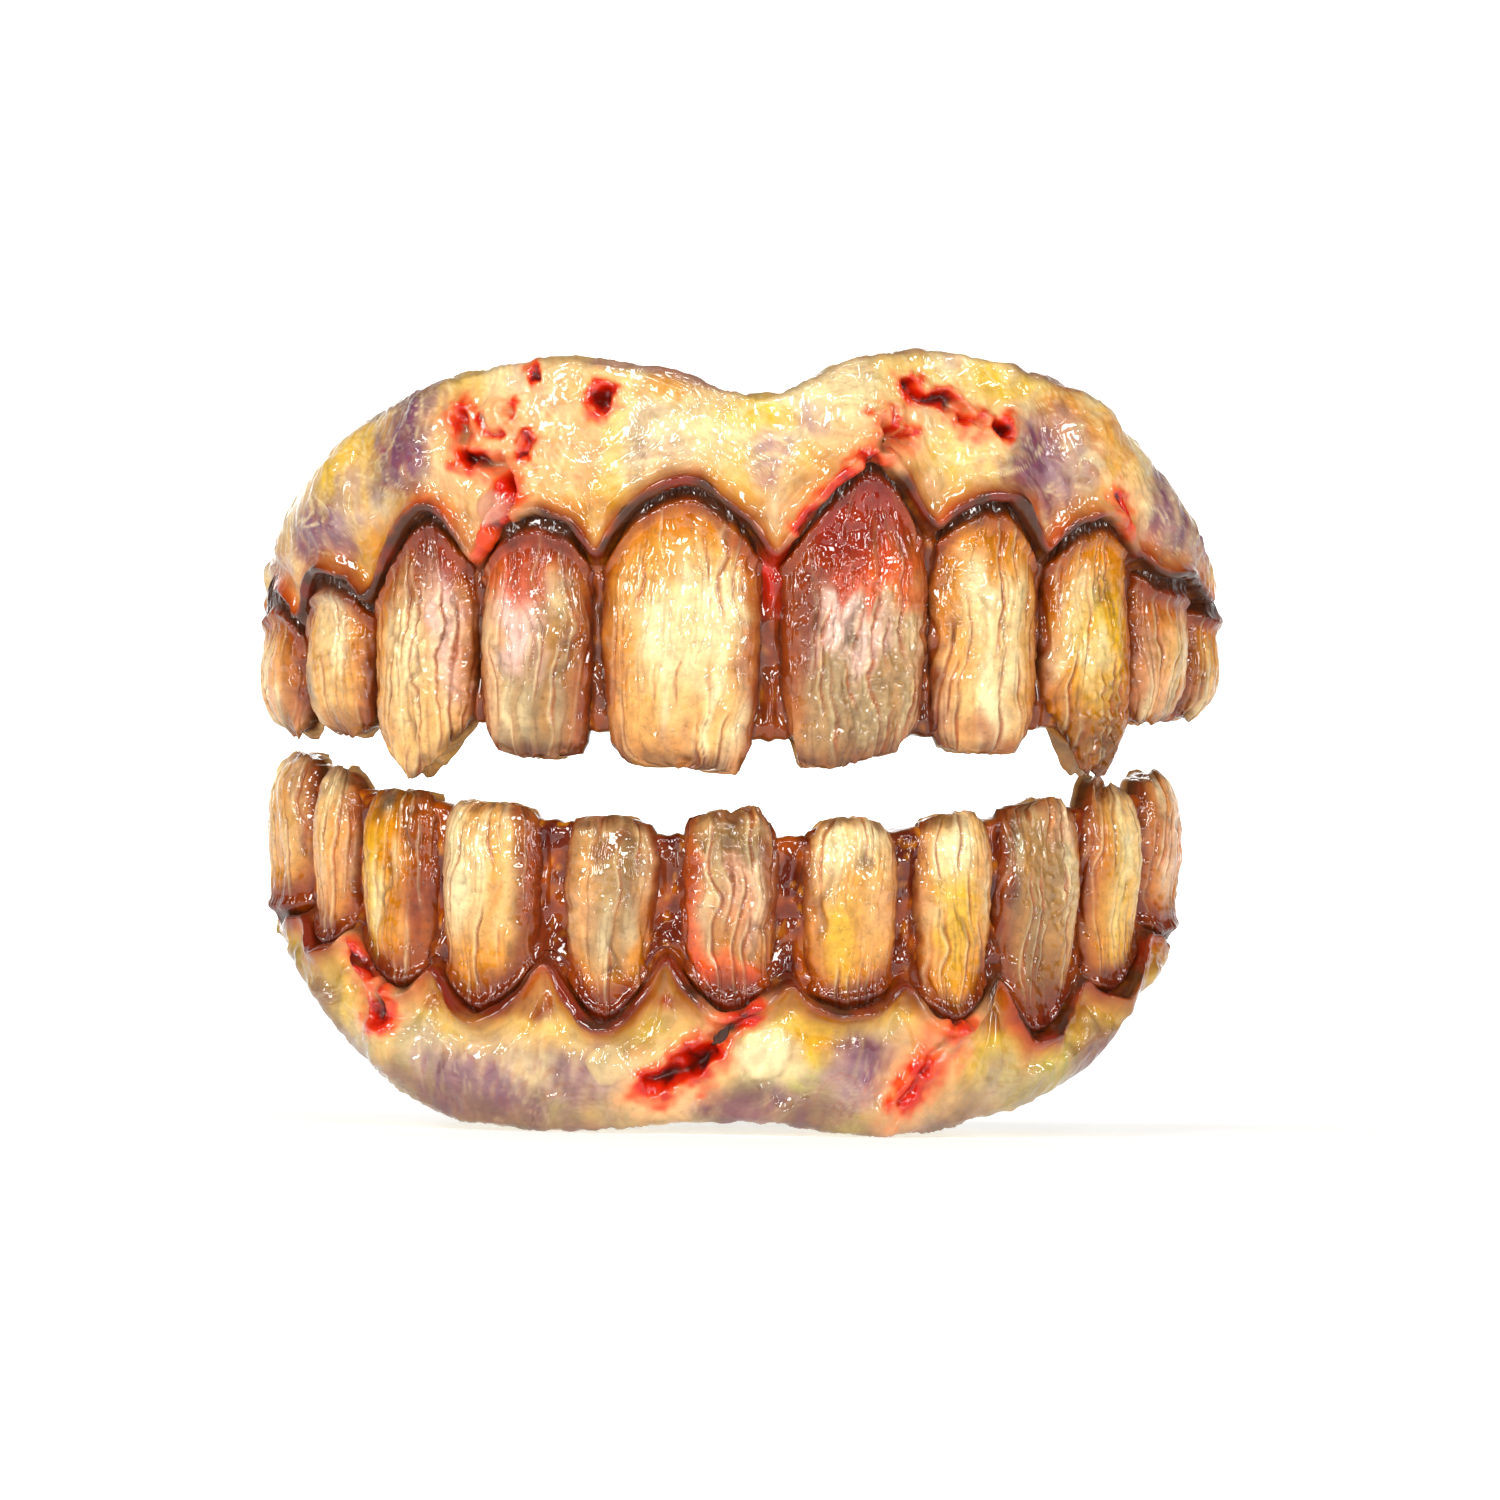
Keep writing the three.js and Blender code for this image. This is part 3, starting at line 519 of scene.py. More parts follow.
# sores: the line each is torn along, half its width, its depth and how far its red reaches
UPPER_SORES = [
    ([(-20.2, 22.6), (-19.7, 21.2), (-19.5, 19.9)], 0.28, 0.5, 1.1),
    ([(-19.5, 19.9), (-18.2, 19.9), (-16.9, 19.2), (-16.4, 18.7)], 0.5, 0.9, 0.8),
    ([(-16.4, 18.9), (-16.2, 17.4), (-16.9, 15.7), (-17.9, 13.4)], 0.35, 0.55, 1.1),
    ([(-16.8, 22.9), (-16.7, 22.7)], 0.32, 0.6, 0.5),
    ([(-18.6, 22.6), (-18.2, 21.6), (-17.0, 21.4)], 0.1, 0.25, 0.5),
    ([(-15.2, 25.1), (-15.0, 25.0)], 0.22, 0.4, 0.5),
    ([(-15.1, 20.9), (-15.3, 20.3)], 0.25, 0.4, 0.7),
    ([(-10.7, 23.7), (-10.4, 23.4)], 0.55, 1.0, 0.7),
    ([(7.6, 22.3), (7.9, 21.4), (8.6, 21.7)], 0.5, 1.1, 0.9),
    ([(7.8, 21.6), (6.9, 20.4), (6.5, 19.9)], 0.22, 0.5, 1.0),
    ([(8.4, 21.7), (9.6, 21.9)], 0.08, 0.2, 0.6),
    ([(7.9, 22.2), (8.2, 23.2)], 0.08, 0.2, 0.4),
    ([(6.6, 20.4), (4.4, 17.6), (2.4, 16.0)], 0.4, 0.4, 0.8),
    ([(9.2, 24.7), (10.3, 24.1), (11.7, 24.1), (12.9, 23.1)], 0.42, 0.9, 0.8),
    ([(12.9, 23.0), (14.3, 22.5)], 0.2, 0.5, 0.7),
    ([(15.5, 22.5), (15.8, 22.2)], 0.45, 1.0, 0.8),
    ([(24.3, 18.4), (25.8, 16.0)], 0.04, 0.1, 0.9),
]
# flesh and blisters: middle, radius, how far each is raised, and its paint
UPPER_FLESH = [
    ((-17.7, 22.7), 1.15, 0.5, "peach"), ((-17.5, 17.0), 1.15, 0.7, "pink"),
    ((-17.6, 15.2), 0.8, 0.4, "orange"),
]
# brushed patches: paint, middle, size across and up, strength
UPPER_BLOTS = [
    ("lemon", -29.3, 18.8, 2, 3, 0.7), ("lemon", -20.9, 23.4, 1.4, 1.6, 0.6),
    ("lemon", -26.9, 13.4, 2.2, 2.2, 0.8), ("gold", -25.2, 15, 1.8, 1.4, 0.5),
    ("lemon", -10, 16.9, 2, 1.6, 0.7), ("gold", -12.5, 18.2, 1.6, 1.6, 0.35),
    ("lemon", -2, 17.2, 1.4, 2.6, 0.6), ("gold", -6.9, 24.2, 1.6, 1.1, 0.7),
    ("lemon", -0.6, 23, 1.8, 1.2, 0.7), ("lemon", 15.6, 25, 2.2, 1, 0.8),
    ("gold", 20.4, 23.2, 2, 1.6, 0.75), ("gold", 24, 21.5, 1.6, 1.8, 0.6),
    ("lemon", 2.6, 18.8, 1.4, 1.8, 0.5), ("lemon", 11.6, 20.8, 1.6, 2, 0.6),
    ("peach", -13.3, 20, 2.4, 3.4, 0.4), ("peach", -18.6, 19, 3, 4.2, 0.45),
    ("peach", 25.6, 16.8, 1.6, 2.6, 0.45), ("peach", 12.2, 22.8, 3.4, 2, 0.25),
    ("peach", 9, 19.4, 1.4, 2.6, 0.45), ("peach", 3.6, 18.4, 1.6, 2.2, 0.35),
    ("mauve", -24.6, 20.9, 1.6, 3, 0.95), ("mauve", -22.9, 22, 1.2, 2, 0.6),
    ("mauve", -31.2, 13.8, 2, 2.8, 1), ("lilac", -28.2, 17, 1.4, 2.4, 0.5),
    ("lilac", 0.4, 20.6, 1.4, 1.5, 0.7), ("lilac", 2.7, 22.6, 1.3, 1, 0.6),
    ("mauve", 18.6, 19.6, 1.7, 3.2, 0.95), ("mauve", 16.8, 19.6, 1.3, 2.6, 0.7),
    ("lilac", 21, 20.6, 1.6, 2.4, 0.5), ("mauve", 29.8, 17.4, 1.8, 3.2, 0.85),
    ("mauve", 33.5, 13.6, 1.8, 2.4, 0.8), ("lilac", -6, 20, 2, 1.4, 0.3),
    ("mauve", -37.6, 12.6, 2, 1.8, 0.6), ("lemon", 37, 12.6, 2, 1.4, 0.5),
    ("lilac", 27.8, 14.4, 1.4, 1.2, 0.6),
]
upper_gum = cast_mesh("upper_gum_cast", *cast_gum(UPPER, UPPER_SORES, UPPER_FLESH, UPPER_BLOTS))
GUM_RESIN = lacquered_resin(
    "painted_gum_resin", mottle=1.6, grain=0.5, freckle=0.9, bumps=0.7, roughness=0.34,
)
finished(upper_gum, GUM_RESIN, "upper_gum")

# The upper teeth: ten crowns of cast resin set in the gum. Each is carved with wood-like growth lines, folds
# and cracks, chipped at the biting edge, and painted from a dark neck to a worn tip before the lacquer.
TOOTH_DEPTH = 3.2
FLANK = 0.34  # the depth at the tooth's sides, as a share of the middle's
BACK_SHARE = 0.88  # the back's width, as a share of the front's
TUCK = 1.6  # how far the root runs in under the gum
RIM_LAND = 1.0  # gum left above the root
# each crown shape from the biting edge to the root's end: how far along, width, depth, and the back's lean
CROWNS = {
    "incisor": [(0.0, 0.8, 0.56, 0), (0.05, 0.91, 0.74, 0), (0.2, 0.99, 0.93, 0), (0.42, 1.02, 1.03, 0),
                (0.66, 0.99, 1.0, 0), (0.84, 0.84, 0.9, 0.1), (1.0, 0.46, 0.6, 0.3)],
    "bared": [(0.0, 0.88, 0.56, 0), (0.05, 0.96, 0.74, 0), (0.2, 1.02, 0.94, 0), (0.42, 1.04, 1.02, 0),
              (0.58, 1.02, 0.98, 0), (0.7, 0.94, 0.86, 0.0), (0.81, 0.76, 0.78, 0.1), (0.9, 0.56, 0.68, 0.2),
              (1.0, 0.34, 0.5, 0.3)],
    "canine": [(0.0, 0.84, 0.5, 0), (0.04, 0.94, 0.66, 0), (0.1, 0.99, 0.8, 0), (0.19, 1.02, 0.92, 0),
               (0.4, 1.02, 1.06, 0), (0.6, 0.98, 1.04, 0), (0.8, 0.76, 0.92, 0.12), (1.0, 0.4, 0.6, 0.3)],
    "premolar": [(0.0, 0.56, 0.5, 0), (0.06, 0.82, 0.72, 0), (0.2, 0.98, 0.94, 0), (0.42, 1.02, 1.03, 0),
                 (0.66, 0.99, 1.0, 0), (0.86, 0.84, 0.9, 0.12), (1.0, 0.5, 0.6, 0.3)],
    "lower": [(0.0, 0.84, 0.56, 0), (0.05, 0.95, 0.74, 0), (0.18, 1.02, 0.93, 0), (0.4, 1.02, 1.03, 0),
              (0.62, 0.95, 1.0, 0), (0.84, 0.74, 0.9, 0.12), (1.0, 0.42, 0.6, 0.3)],
}
GLAZES = ("rust", "brick", "scarlet", "orange", "oxblood")  # the red paints, laid again over the growth lines
FRONT_POINTS, BACK_POINTS, ROWS = 96, 30, 84


def growth_lines(x, y, spacing, seed):
    """Thin lines that run down the tooth side by side, each with its own breaks: 1 on a line, 0 between."""
    phase = x / spacing + 1.1 * sway(x, y / 2.5, 1.6, seed) + 0.5 * sway(x, y / 2, 0.7, seed + 1)
    number = np.floor(phase)
    strength = smooth(0.4, 0.75, lumps(number * 7.3, y / 3.2, 1, seed + 2))
    return strength * smooth(0.2, 0.03, np.abs(phase - number - 0.5))


def cast_tooth(arch, index, crown, tip, drift, slant, edge, ground, washes, cut, beaten, seed):
    """One tooth's rings from the biting edge to the root, with growth lines, cracks, chips and paint. edge is
    the biting edge's chips as (across, rise), cut the depth of the growth lines, and beaten the places
    hammered rough, as (across, up)."""
    cell = cells_of(arch)[index]
    rows = np.array(CROWNS[crown])
    tip = tip * arch["height"]
    half_root = rows[-1, 1] * cell["half"]
    cover = min(rim_of(arch, cell["middle"] - half_root), rim_of(arch, cell["middle"] + half_root)) - RIM_LAND
    root = min(cell["gum"] + TUCK, cover)
    at = np.linspace(0, 1, ROWS) ** 1.15
    wide, deep, lean = [curve_through(rows[:, (0, i)], at)[:, None] for i in (1, 2, 3)]
    t = np.linspace(-1, 1, FRONT_POINTS)
    across = 1.22 * t - 0.22 * t**3
    across = across / np.abs(across).max()
    back_across = np.linspace(BACK_SHARE, -BACK_SHARE, BACK_POINTS)
    half = wide * (cell["half"] + 0.18)
    rear = -TOOTH_DEPTH * (1 - lean)
    bulge = FLANK + (1 - FLANK) * np.clip(1 - np.abs(across) ** 2.8, 0, 1) ** 0.46
    out = np.concatenate([rear + deep * TOOTH_DEPTH * bulge, rear + 0 * half * back_across], 1)
    u = np.broadcast_to(np.concatenate([across, back_across])[None, :], out.shape)
    middle = cell["middle"] + drift * cell["half"] * (1 - wide) * (1 - at[:, None])
    along = middle + u * half
    # the sides wander a little, the way carved teeth do
    along = along + 0.22 * sway(at[:, None] * 9, np.sign(u) * 5 + seed, 1.6, seed) * np.abs(u)
    rise = slant * (along - cell["middle"]) * (1 - at[:, None]) ** 2
    chips = np.interp(u, *np.array(edge).T) + 0.34 * sway(u * half, 0, 0.8, seed + 1)
    chips = chips + 0.22 * sway(u * half, 0, 0.35, seed + 2)
    up = tip + (root - tip) * at[:, None] + rise + chips * np.clip(1 - at[:, None] / 0.42, 0, 1) ** 1.4
    front = (np.arange(out.shape[1]) < FRONT_POINTS)[None, :]
    round_corners((out, along), ~front[0], 2)

    # growth lines that run down the tooth and close up with its taper, folds, cracks and cross wrinkles
    x, y = u * cell["half"], up
    x = x + 1.1 * sway(x, y, 3.2, seed + 3) + 0.35 * sway(x * 2, y, 1.6, seed + 4)
    groove = growth_lines(x, y, 0.72, seed + 5)
    hair = growth_lines(x + 0.2, y, 0.4, seed + 8)
    fold = lumps(x / 1.3, y / 5.0, 1, seed + 7)
    slit = growth_lines(x + 0.5, y * 1.6, 1.9, seed + 11) * smooth(0.4, 0.7, lumps(x, y, 2.6, seed + 9))
    step = lumps(x / 2.2, y / 0.75, 1, seed + 10)
    worn = smooth(0.22, 0.0, at[:, None])
    height = cut * (-0.13 * groove - 0.07 * hair + 0.3 * (fold - 0.5) - 0.16 * slit)
    height = height + 0.08 * (step - 0.5) + worn * 0.22 * sway(x, y, 0.7, seed + 12)
    hammered = 0 * u
    for at_u, at_v in beaten:
        hammered = hammered + np.exp(-((u - at_u) / 0.45) ** 2 - ((at[:, None] - at_v) / 0.22) ** 2)
    height = height + (0.09 + 0.34 * hammered) * sway(x * 1.1, y, 0.34, seed + 13)
    # a glossy bead where the neck meets the gum
    under = gum_line(arch, along) - up
    collar = arch["collar"]
    bead = np.exp(-((under - collar - 0.25 - 0.3 * sway(along, up, 1.4, seed + 14)) / 0.3) ** 2)
    height = height + 0.3 * bead * front
    height = height * np.where(front, 1, 0.4)
    height[-6:] *= np.linspace(1, 0.2, 6)[:, None]

    # paint
    v = (up - tip) / (cell["gum"] - tip)
    ragged_u = u + 0.34 * sway(x, y, 1.5, seed + 15)
    ragged_v = v + 0.16 * sway(x * 2.2, y, 1.9, seed + 16)
    streak = lumps(x / 0.7, y / 4.5, 1, seed + 17)
    round_neck = sway(along, up, 1.0, seed + 21)
    ring = under + 0.5 * round_neck
    colour = wash(
        np.ones((*out.shape, 3)) * PAINT[ground],
        ("ivory", 0.7 * smooth(0.5, 0.85, streak)),
        ("gold", 0.45 * smooth(0.45, 0.15, streak)),
        ("gold", 0.6 * smooth(5.0, 2.2, ring)),
        ("amber", 0.9 * smooth(3.4, 1.5, ring) * (0.7 + 0.5 * streak)),
        ("rust", 0.95 * smooth(2.3, 1.1, ring)),
        ("oxblood", 0.6 * smooth(1.5, 0.7, ring)),
    )
    covers = []
    for paint, at_u, at_v, size_u, size_v, amount in washes:
        far = np.hypot((ragged_u - at_u) / size_u, (ragged_v - at_v) / size_v)
        covers.append((paint, amount * (1 - smooth(0.25, 1.15, far)) * (0.75 + 0.5 * (streak - 0.3))))
    # how far towards the sides, where painted shade darkens the crown
    round_u = np.abs(u) + 0.16 * sway(x, y, 1.6, seed + 27)
    flank_u = np.abs(u) + 0.14 * sway(x, y, 0.9, seed + 20)
    edge_near = smooth(0.07, 0.0, at[:, None] + 0.03 * sway(x, y, 0.8, seed + 22))
    colour = wash(
        colour,
        *covers,
        # painted highlight: a pale line beside each growth line, where the lacquer catches the light
        ("ivory", 0.4 * growth_lines(x + 0.16, y, 0.72, seed + 5)),
        ("amber", 0.7 * cut * groove),
        ("walnut", 0.4 * cut * groove * smooth(0.3, 0.7, lumps(x, y, 2.0, seed + 18))),
        ("walnut", 0.3 * cut * hair),
        ("umber", 0.5 * slit),
        *[(paint, 0.75 * cover) for paint, cover in covers if paint in GLAZES],
        ("rust", 0.75 * smooth(2.0, 0.9, ring)),
        ("oxblood", 0.6 * smooth(1.3, 0.6, ring)),
        # painted shade: the crown darkens in amber, rust and umber towards its sides, partly brown paint
        # there and partly shade that rounds it
        ("amber", 0.6 * smooth(0.5, 0.95, round_u) * front),
        ("rust", 0.85 * smooth(0.78, 0.97, flank_u) * front),
        ("umber", 0.75 * smooth(0.93, 1.0, np.abs(u)) * front),
        # the dark band at the neck: umber paint, and painted shade in the groove under the gum's lip
        ("umber", 0.95 * smooth(collar + 0.15, collar - 0.3, under + 0.3 * round_neck)),
        ("rust", 0.55 * edge_near * (0.4 + lumps(x, y, 0.9, seed + 23))),
        ("umber", 0.5 * edge_near * smooth(0.4, 0.7, lumps(x, y, 0.6, seed + 24))),
    )
    colour = np.where(front[..., None], colour, wash(colour, ("cream", 0.35 + 0 * u)))

    # the biting edge closes in a few rounded rings
    along, out, up = raised(along, out, up, height)
    edge_along, edge_out, edge_up = along[0], out[0], up[0]
    mid_along, mid_out, mid_up = edge_along.mean(), edge_out.mean(), edge_up.mean()
    for close, drop in ((0.93, 0.0), (0.8, 0.10), (0.62, 0.16), (0.42, 0.16), (0.2, 0.12), (0.06, 0.1)):
        pit = 0.35 * sway(edge_along * close, edge_out * close + 9, 0.6, seed + 25) * (1 - close)
        along = np.vstack([mid_along + (edge_along - mid_along) * close, along])
        out = np.vstack([mid_out + (edge_out - mid_out) * close, out])
        up = np.vstack([edge_up * close + mid_up * (1 - close) - drop + pit, up])
        colour = np.concatenate([colour[:1], colour])
    return place(arch, along, out, up), colour


# each tooth: name, crown, tip as a share of the arch's height, drift, slant, chips, ground colour, washes as
# (paint, across, up from tip to gum line, size across, size up, strength), and how deep it is carved
# the pale pink blush on three of these teeth is partly paint and partly a painted sheen of the lacquer
UPPER_TEETH = [
    ("upper_right_second_premolar", "premolar", 0.112, 0, 0, ((-1, 0.5), (0.2, 0), (0.7, -0.5), (1, 0.4)),
     "peach",
     [("amber", 0, 1, 1.4, 0.35, 0.8), ("ivory", -0.6, 0.5, 0.4, 0.5, 0.5),
      ("umber", 0.5, 0.05, 0.4, 0.2, 0.85), ("rust", 0.8, 0.6, 0.4, 0.6, 0.5)], 0.8),
    ("upper_right_first_premolar", "premolar", 0.105, 0.2, 0, ((-1, 0.6), (-0.2, 0), (0.5, 0), (1, 0.5)),
     "cream",
     [("ivory", 0.1, 0.7, 0.6, 0.35, 0.8), ("umber", -0.55, 0.3, 0.3, 0.16, 0.85),
      ("rust", 0.2, 0.08, 0.8, 0.14, 0.6), ("gold", 0.7, 0.4, 0.4, 0.5, 0.6)], 0.9),
    ("upper_right_canine", "canine", 0.01, 0, 0, ((-1, 3.2), (-0.85, 1.4), (-0.6, 0.5), (-0.32, 0),
     (-0.05, 0.3), (0.4, 1.6), (0.8, 2.9), (1, 3.8)), "cream",
     [("amber", -0.1, 0.78, 0.9, 0.26, 0.8), ("rust", 0.1, 0.98, 1.1, 0.36, 1),
      ("gold", -0.7, 0.45, 0.35, 0.5, 0.6), ("ivory", -0.2, 0.45, 0.4, 0.35, 0.6),
      ("blush", 0.5, 0.52, 0.4, 0.34, 0.95), ("cream", 0.1, 0.18, 0.7, 0.2, 0.5),
      ("brick", 0.7, 0.8, 0.4, 0.2, 0.7)], 1.15),
    ("upper_right_lateral_incisor", "incisor", 0.067, 0, 0, ((-1, 0.5), (-0.5, 0), (0.4, -0.1), (1, 0.3)),
     "ash",
     [("taupe", 0.3, 0.3, 0.8, 0.35, 0.8), ("umber", 0, 0, 1.2, 0.14, 0.7),
      ("blush", -0.15, 0.56, 0.65, 0.26, 0.95), ("peach", -0.6, 0.4, 0.3, 0.4, 0.5),
      ("orange", -0.2, 0.78, 0.8, 0.16, 0.6), ("rust", 0.1, 0.98, 1.2, 0.34, 1),
      ("walnut", 0.85, 0.4, 0.35, 0.6, 0.85)], 0.9),
    ("upper_right_central_incisor", "incisor", 0.052, 0.05, 0, ((-1, 0.6), (-0.85, 0.2), (-0.3, 0.1),
     (0.2, 0), (0.66, -0.12), (0.78, -0.4), (0.9, -0.3), (0.94, 0.5), (1, 1.5)), "cream",
     [("gold", 0, 0.82, 1, 0.24, 0.8), ("amber", 0, 1, 1.1, 0.2, 0.9), ("gold", -0.85, 0.5, 0.3, 0.6, 0.6),
      ("amber", 0.9, 0.5, 0.25, 0.6, 0.7), ("ivory", 0, 0.5, 0.65, 0.32, 0.9),
      ("amber", 0, 0.02, 1.2, 0.1, 0.55)], 1),
    ("upper_left_central_incisor", "bared", 0.064, 0, 0.14, ((-1, 1.9), (-0.9, 1.6), (-0.84, 0.4),
     (-0.5, 0), (0.1, 0), (0.35, 0.3), (0.7, 0.4), (1, 1)), "ash",
     [("taupe", 0, 0.22, 1.2, 0.3, 0.75), ("blush", -0.2, 0.46, 0.8, 0.16, 0.8),
      ("orange", 0, 0.62, 1.3, 0.1, 0.8), ("brick", 0, 0.78, 2, 0.2, 1),
      ("rust", -0.6, 0.64, 0.7, 0.16, 0.8), ("brick", 0.1, 0.92, 2, 0.22, 1),
      ("oxblood", 0.3, 0.98, 1.6, 0.14, 0.8), ("rust", -0.95, 0.48, 0.5, 0.36, 0.95),
      ("walnut", 0.1, 0.02, 1.1, 0.12, 0.7)], 1.2),
    ("upper_left_lateral_incisor", "incisor", 0.098, 0, 0, ((-1, 0.2), (-0.6, -0.1), (0.3, 0), (0.8, -0.1),
     (1, 0.5)), "cream",
     [("gold", 0.1, 0.86, 1.1, 0.26, 0.9), ("amber", 0.3, 0.98, 1.1, 0.2, 0.9),
      ("gold", -0.7, 0.6, 0.4, 0.5, 0.7), ("ivory", -0.35, 0.66, 0.35, 0.16, 0.8),
      ("ivory", 0.1, 0.35, 0.6, 0.3, 0.7), ("amber", 0, 0.03, 1.2, 0.12, 0.7),
      ("gold", 0.8, 0.3, 0.3, 0.4, 0.6)], 1.15),
    ("upper_left_canine", "canine", 0.04, 0, 0, ((-1, 4.4), (-0.6, 3), (-0.2, 0.9), (0.15, 0), (0.6, 0.3),
     (0.85, 1.6), (1, 3.2)), "gold",
     [("amber", 0.2, 0.98, 1, 0.2, 0.7), ("gold", 0, 0.86, 1.2, 0.16, 0.9),
      ("lemon", 0, 0.5, 0.8, 0.35, 0.85), ("ivory", -0.1, 0.45, 0.5, 0.14, 0.7),
      ("ivory", -0.4, 0.7, 0.3, 0.2, 0.6), ("walnut", 0.1, 0.14, 1.2, 0.24, 0.85),
      ("umber", 0.3, 0.04, 0.8, 0.2, 0.85), ("amber", 0.8, 0.5, 0.3, 0.5, 0.7)], 1.1),
    ("upper_left_first_premolar", "premolar", 0.165, 0.1, 0, ((-1, 0.4), (-0.5, 0), (0.4, 0.1), (1, 0.6)),
     "peach",
     [("rust", 0, 1, 1.2, 0.24, 0.8), ("amber", -0.6, 0.6, 0.5, 0.5, 0.6),
      ("cream", 0.1, 0.45, 0.5, 0.3, 0.6), ("taupe", 0.3, 0.1, 0.8, 0.2, 0.6)], 1),
    ("upper_left_second_premolar", "premolar", 0.182, 0, 0, ((-1, 0.3), (-0.4, 0), (0.5, 0.2), (1, 0.8)),
     "cream",
     [("amber", 0, 1, 1.2, 0.3, 0.8), ("gold", 0.2, 0.5, 0.7, 0.4, 0.5),
      ("rust", -0.8, 0.4, 0.3, 0.5, 0.6)], 0.9),
]
TOOTH_RESIN = lacquered_resin(
    "painted_tooth_resin", mottle=0.9, grain=0.4, freckle=0.75, bumps=0.45, roughness=0.3,
)
# where a tooth was hammered rough: across, and up its length
BEATEN = {
    "upper_right_first_premolar": [(0.5, 0.5)], "upper_right_canine": [(0.5, 0.4), (0.3, 0.6)],
    "upper_left_central_incisor": [(0.0, 0.2), (-0.4, 0.4), (-0.3, 0.55), (0.5, 0.3)],
    "upper_left_lateral_incisor": [(-0.4, 0.55)], "upper_left_canine": [(0.1, 0.1), (0.2, 0.25)],
    "lower_middle_incisor": [(0.0, 0.15)], "lower_left_canine": [(0.2, 0.3)],
}


def cast_row(arch, teeth, seed):
    """Casts the teeth of an arch in order, from the wearer's right to the left."""
    for number, (name, *carving) in enumerate(teeth):
        rings, paint = cast_tooth(arch, number, *carving, BEATEN.get(name, []), seed + 30 * number)
        finished(cast_mesh(name + "_cast", rings, paint), TOOTH_RESIN, name)


cast_row(UPPER, UPPER_TEETH, 400)


# The lower gum: the same casting for the lower jaw. It sits a little to one side and a little further back,
# its margins are thicker rolls, and the gaps between its slimmer teeth are filled with glossy brown resin.
LOWER = {
    "way": -1, "width": 59.2, "depth": 27.0, "front": -8.2, "offset": -0.8, "splay": 0.07,
    "reach": 40.5, "height": 21.1, "seat": (3.1, 0.0), "ridge": (0.3, 3.6), "end_gum": 0.36,
    "scallops": [
        (-0.988, -0.806, 0.400, 0.370, 0.20, 2.0), (-0.806, -0.684, 0.498, 0.422, 0.00, 1.8),
        (-0.684, -0.514, 0.616, 0.517, 0.30, 1.8), (-0.514, -0.328, 0.668, 0.488, 0.00, 1.6),
        (-0.292, -0.137, 0.692, 0.455, 0.00, 1.6), (-0.104, 0.060, 0.668, 0.550, -0.10, 1.6),
        (0.092, 0.254, 0.645, 0.521, -0.10, 2.0), (0.279, 0.424, 0.678, 0.502, -0.10, 1.9),
        (0.428, 0.612, 0.711, 0.521, -0.25, 1.6), (0.614, 0.785, 0.588, 0.395, -0.30, 1.8),
        (0.785, 0.976, 0.430, 0.400, -0.20, 2.0),
    ],
    "rim": [
        (-1.0, 0.45), (-0.89, 0.51), (-0.78, 0.65), (-0.65, 0.845), (-0.49, 0.968), (-0.28, 1.0),
        (0.0, 0.957), (0.22, 0.996), (0.46, 0.93), (0.62, 0.825), (0.71, 0.685), (0.81, 0.56),
        (0.89, 0.51), (1.0, 0.48),
    ],
    "fill": -1.25,
    "bead": 0.55,
    "plump": 1.1,
    "stain": 0.9,
    "collar": 0.5,
    "pour": 1.0,
    "tint": "moss",
    "glow": "lemon",
    "tinted": 0.85,
    "shadow": 3.4,
    "points": 1.15,
    "gaps": [("rust", -5.2, 10.0, 1.2, 3.0, 0.6), ("oxblood", 2.2, 10.5, 1.2, 3.0, 0.6),
             ("rust", 9.6, 9.0, 1.0, 4.0, 0.6), ("umber", 15.9, 8.0, 1.0, 6.0, 0.8),
             ("rust", -12.6, 10.5, 1.2, 3.0, 0.7), ("oxblood", -26.6, 9.0, 1.4, 3.0, 0.7)],
}
horseshoe(LOWER)
LOWER_SORES = [
    ([(-24.2, 14.2), (-24.6, 12.8), (-25.6, 11.0)], 0.55, 0.6, 1.1),
    ([(-25.2, 11.6), (-27.0, 10.4)], 0.15, 0.3, 0.9),
    ([(0.2, 13.7), (-0.9, 14.6), (-1.7, 15.7), (-3.2, 16.9)], 0.45, 0.7, 0.9),
    ([(-2.4, 16.3), (-3.8, 17.3), (-5.6, 18.1)], 0.75, 1.0, 1.1),
    ([(13.8, 14.3), (13.0, 15.8), (12.2, 17.0)], 0.2, 0.25, 1.6),
    ([(12.2, 17.0), (11.4, 18.2), (10.6, 19.0)], 0.12, 0.2, 1.3),
    ([(14.3, 13.2), (13.8, 14.2)], 0.1, 0.2, 1.0),
]
LOWER_FLESH = [((1.6, 16.1), 1.7, 0.4, "ivory"), ((-8.6, 17.0), 1.3, 0.3, "bone")]
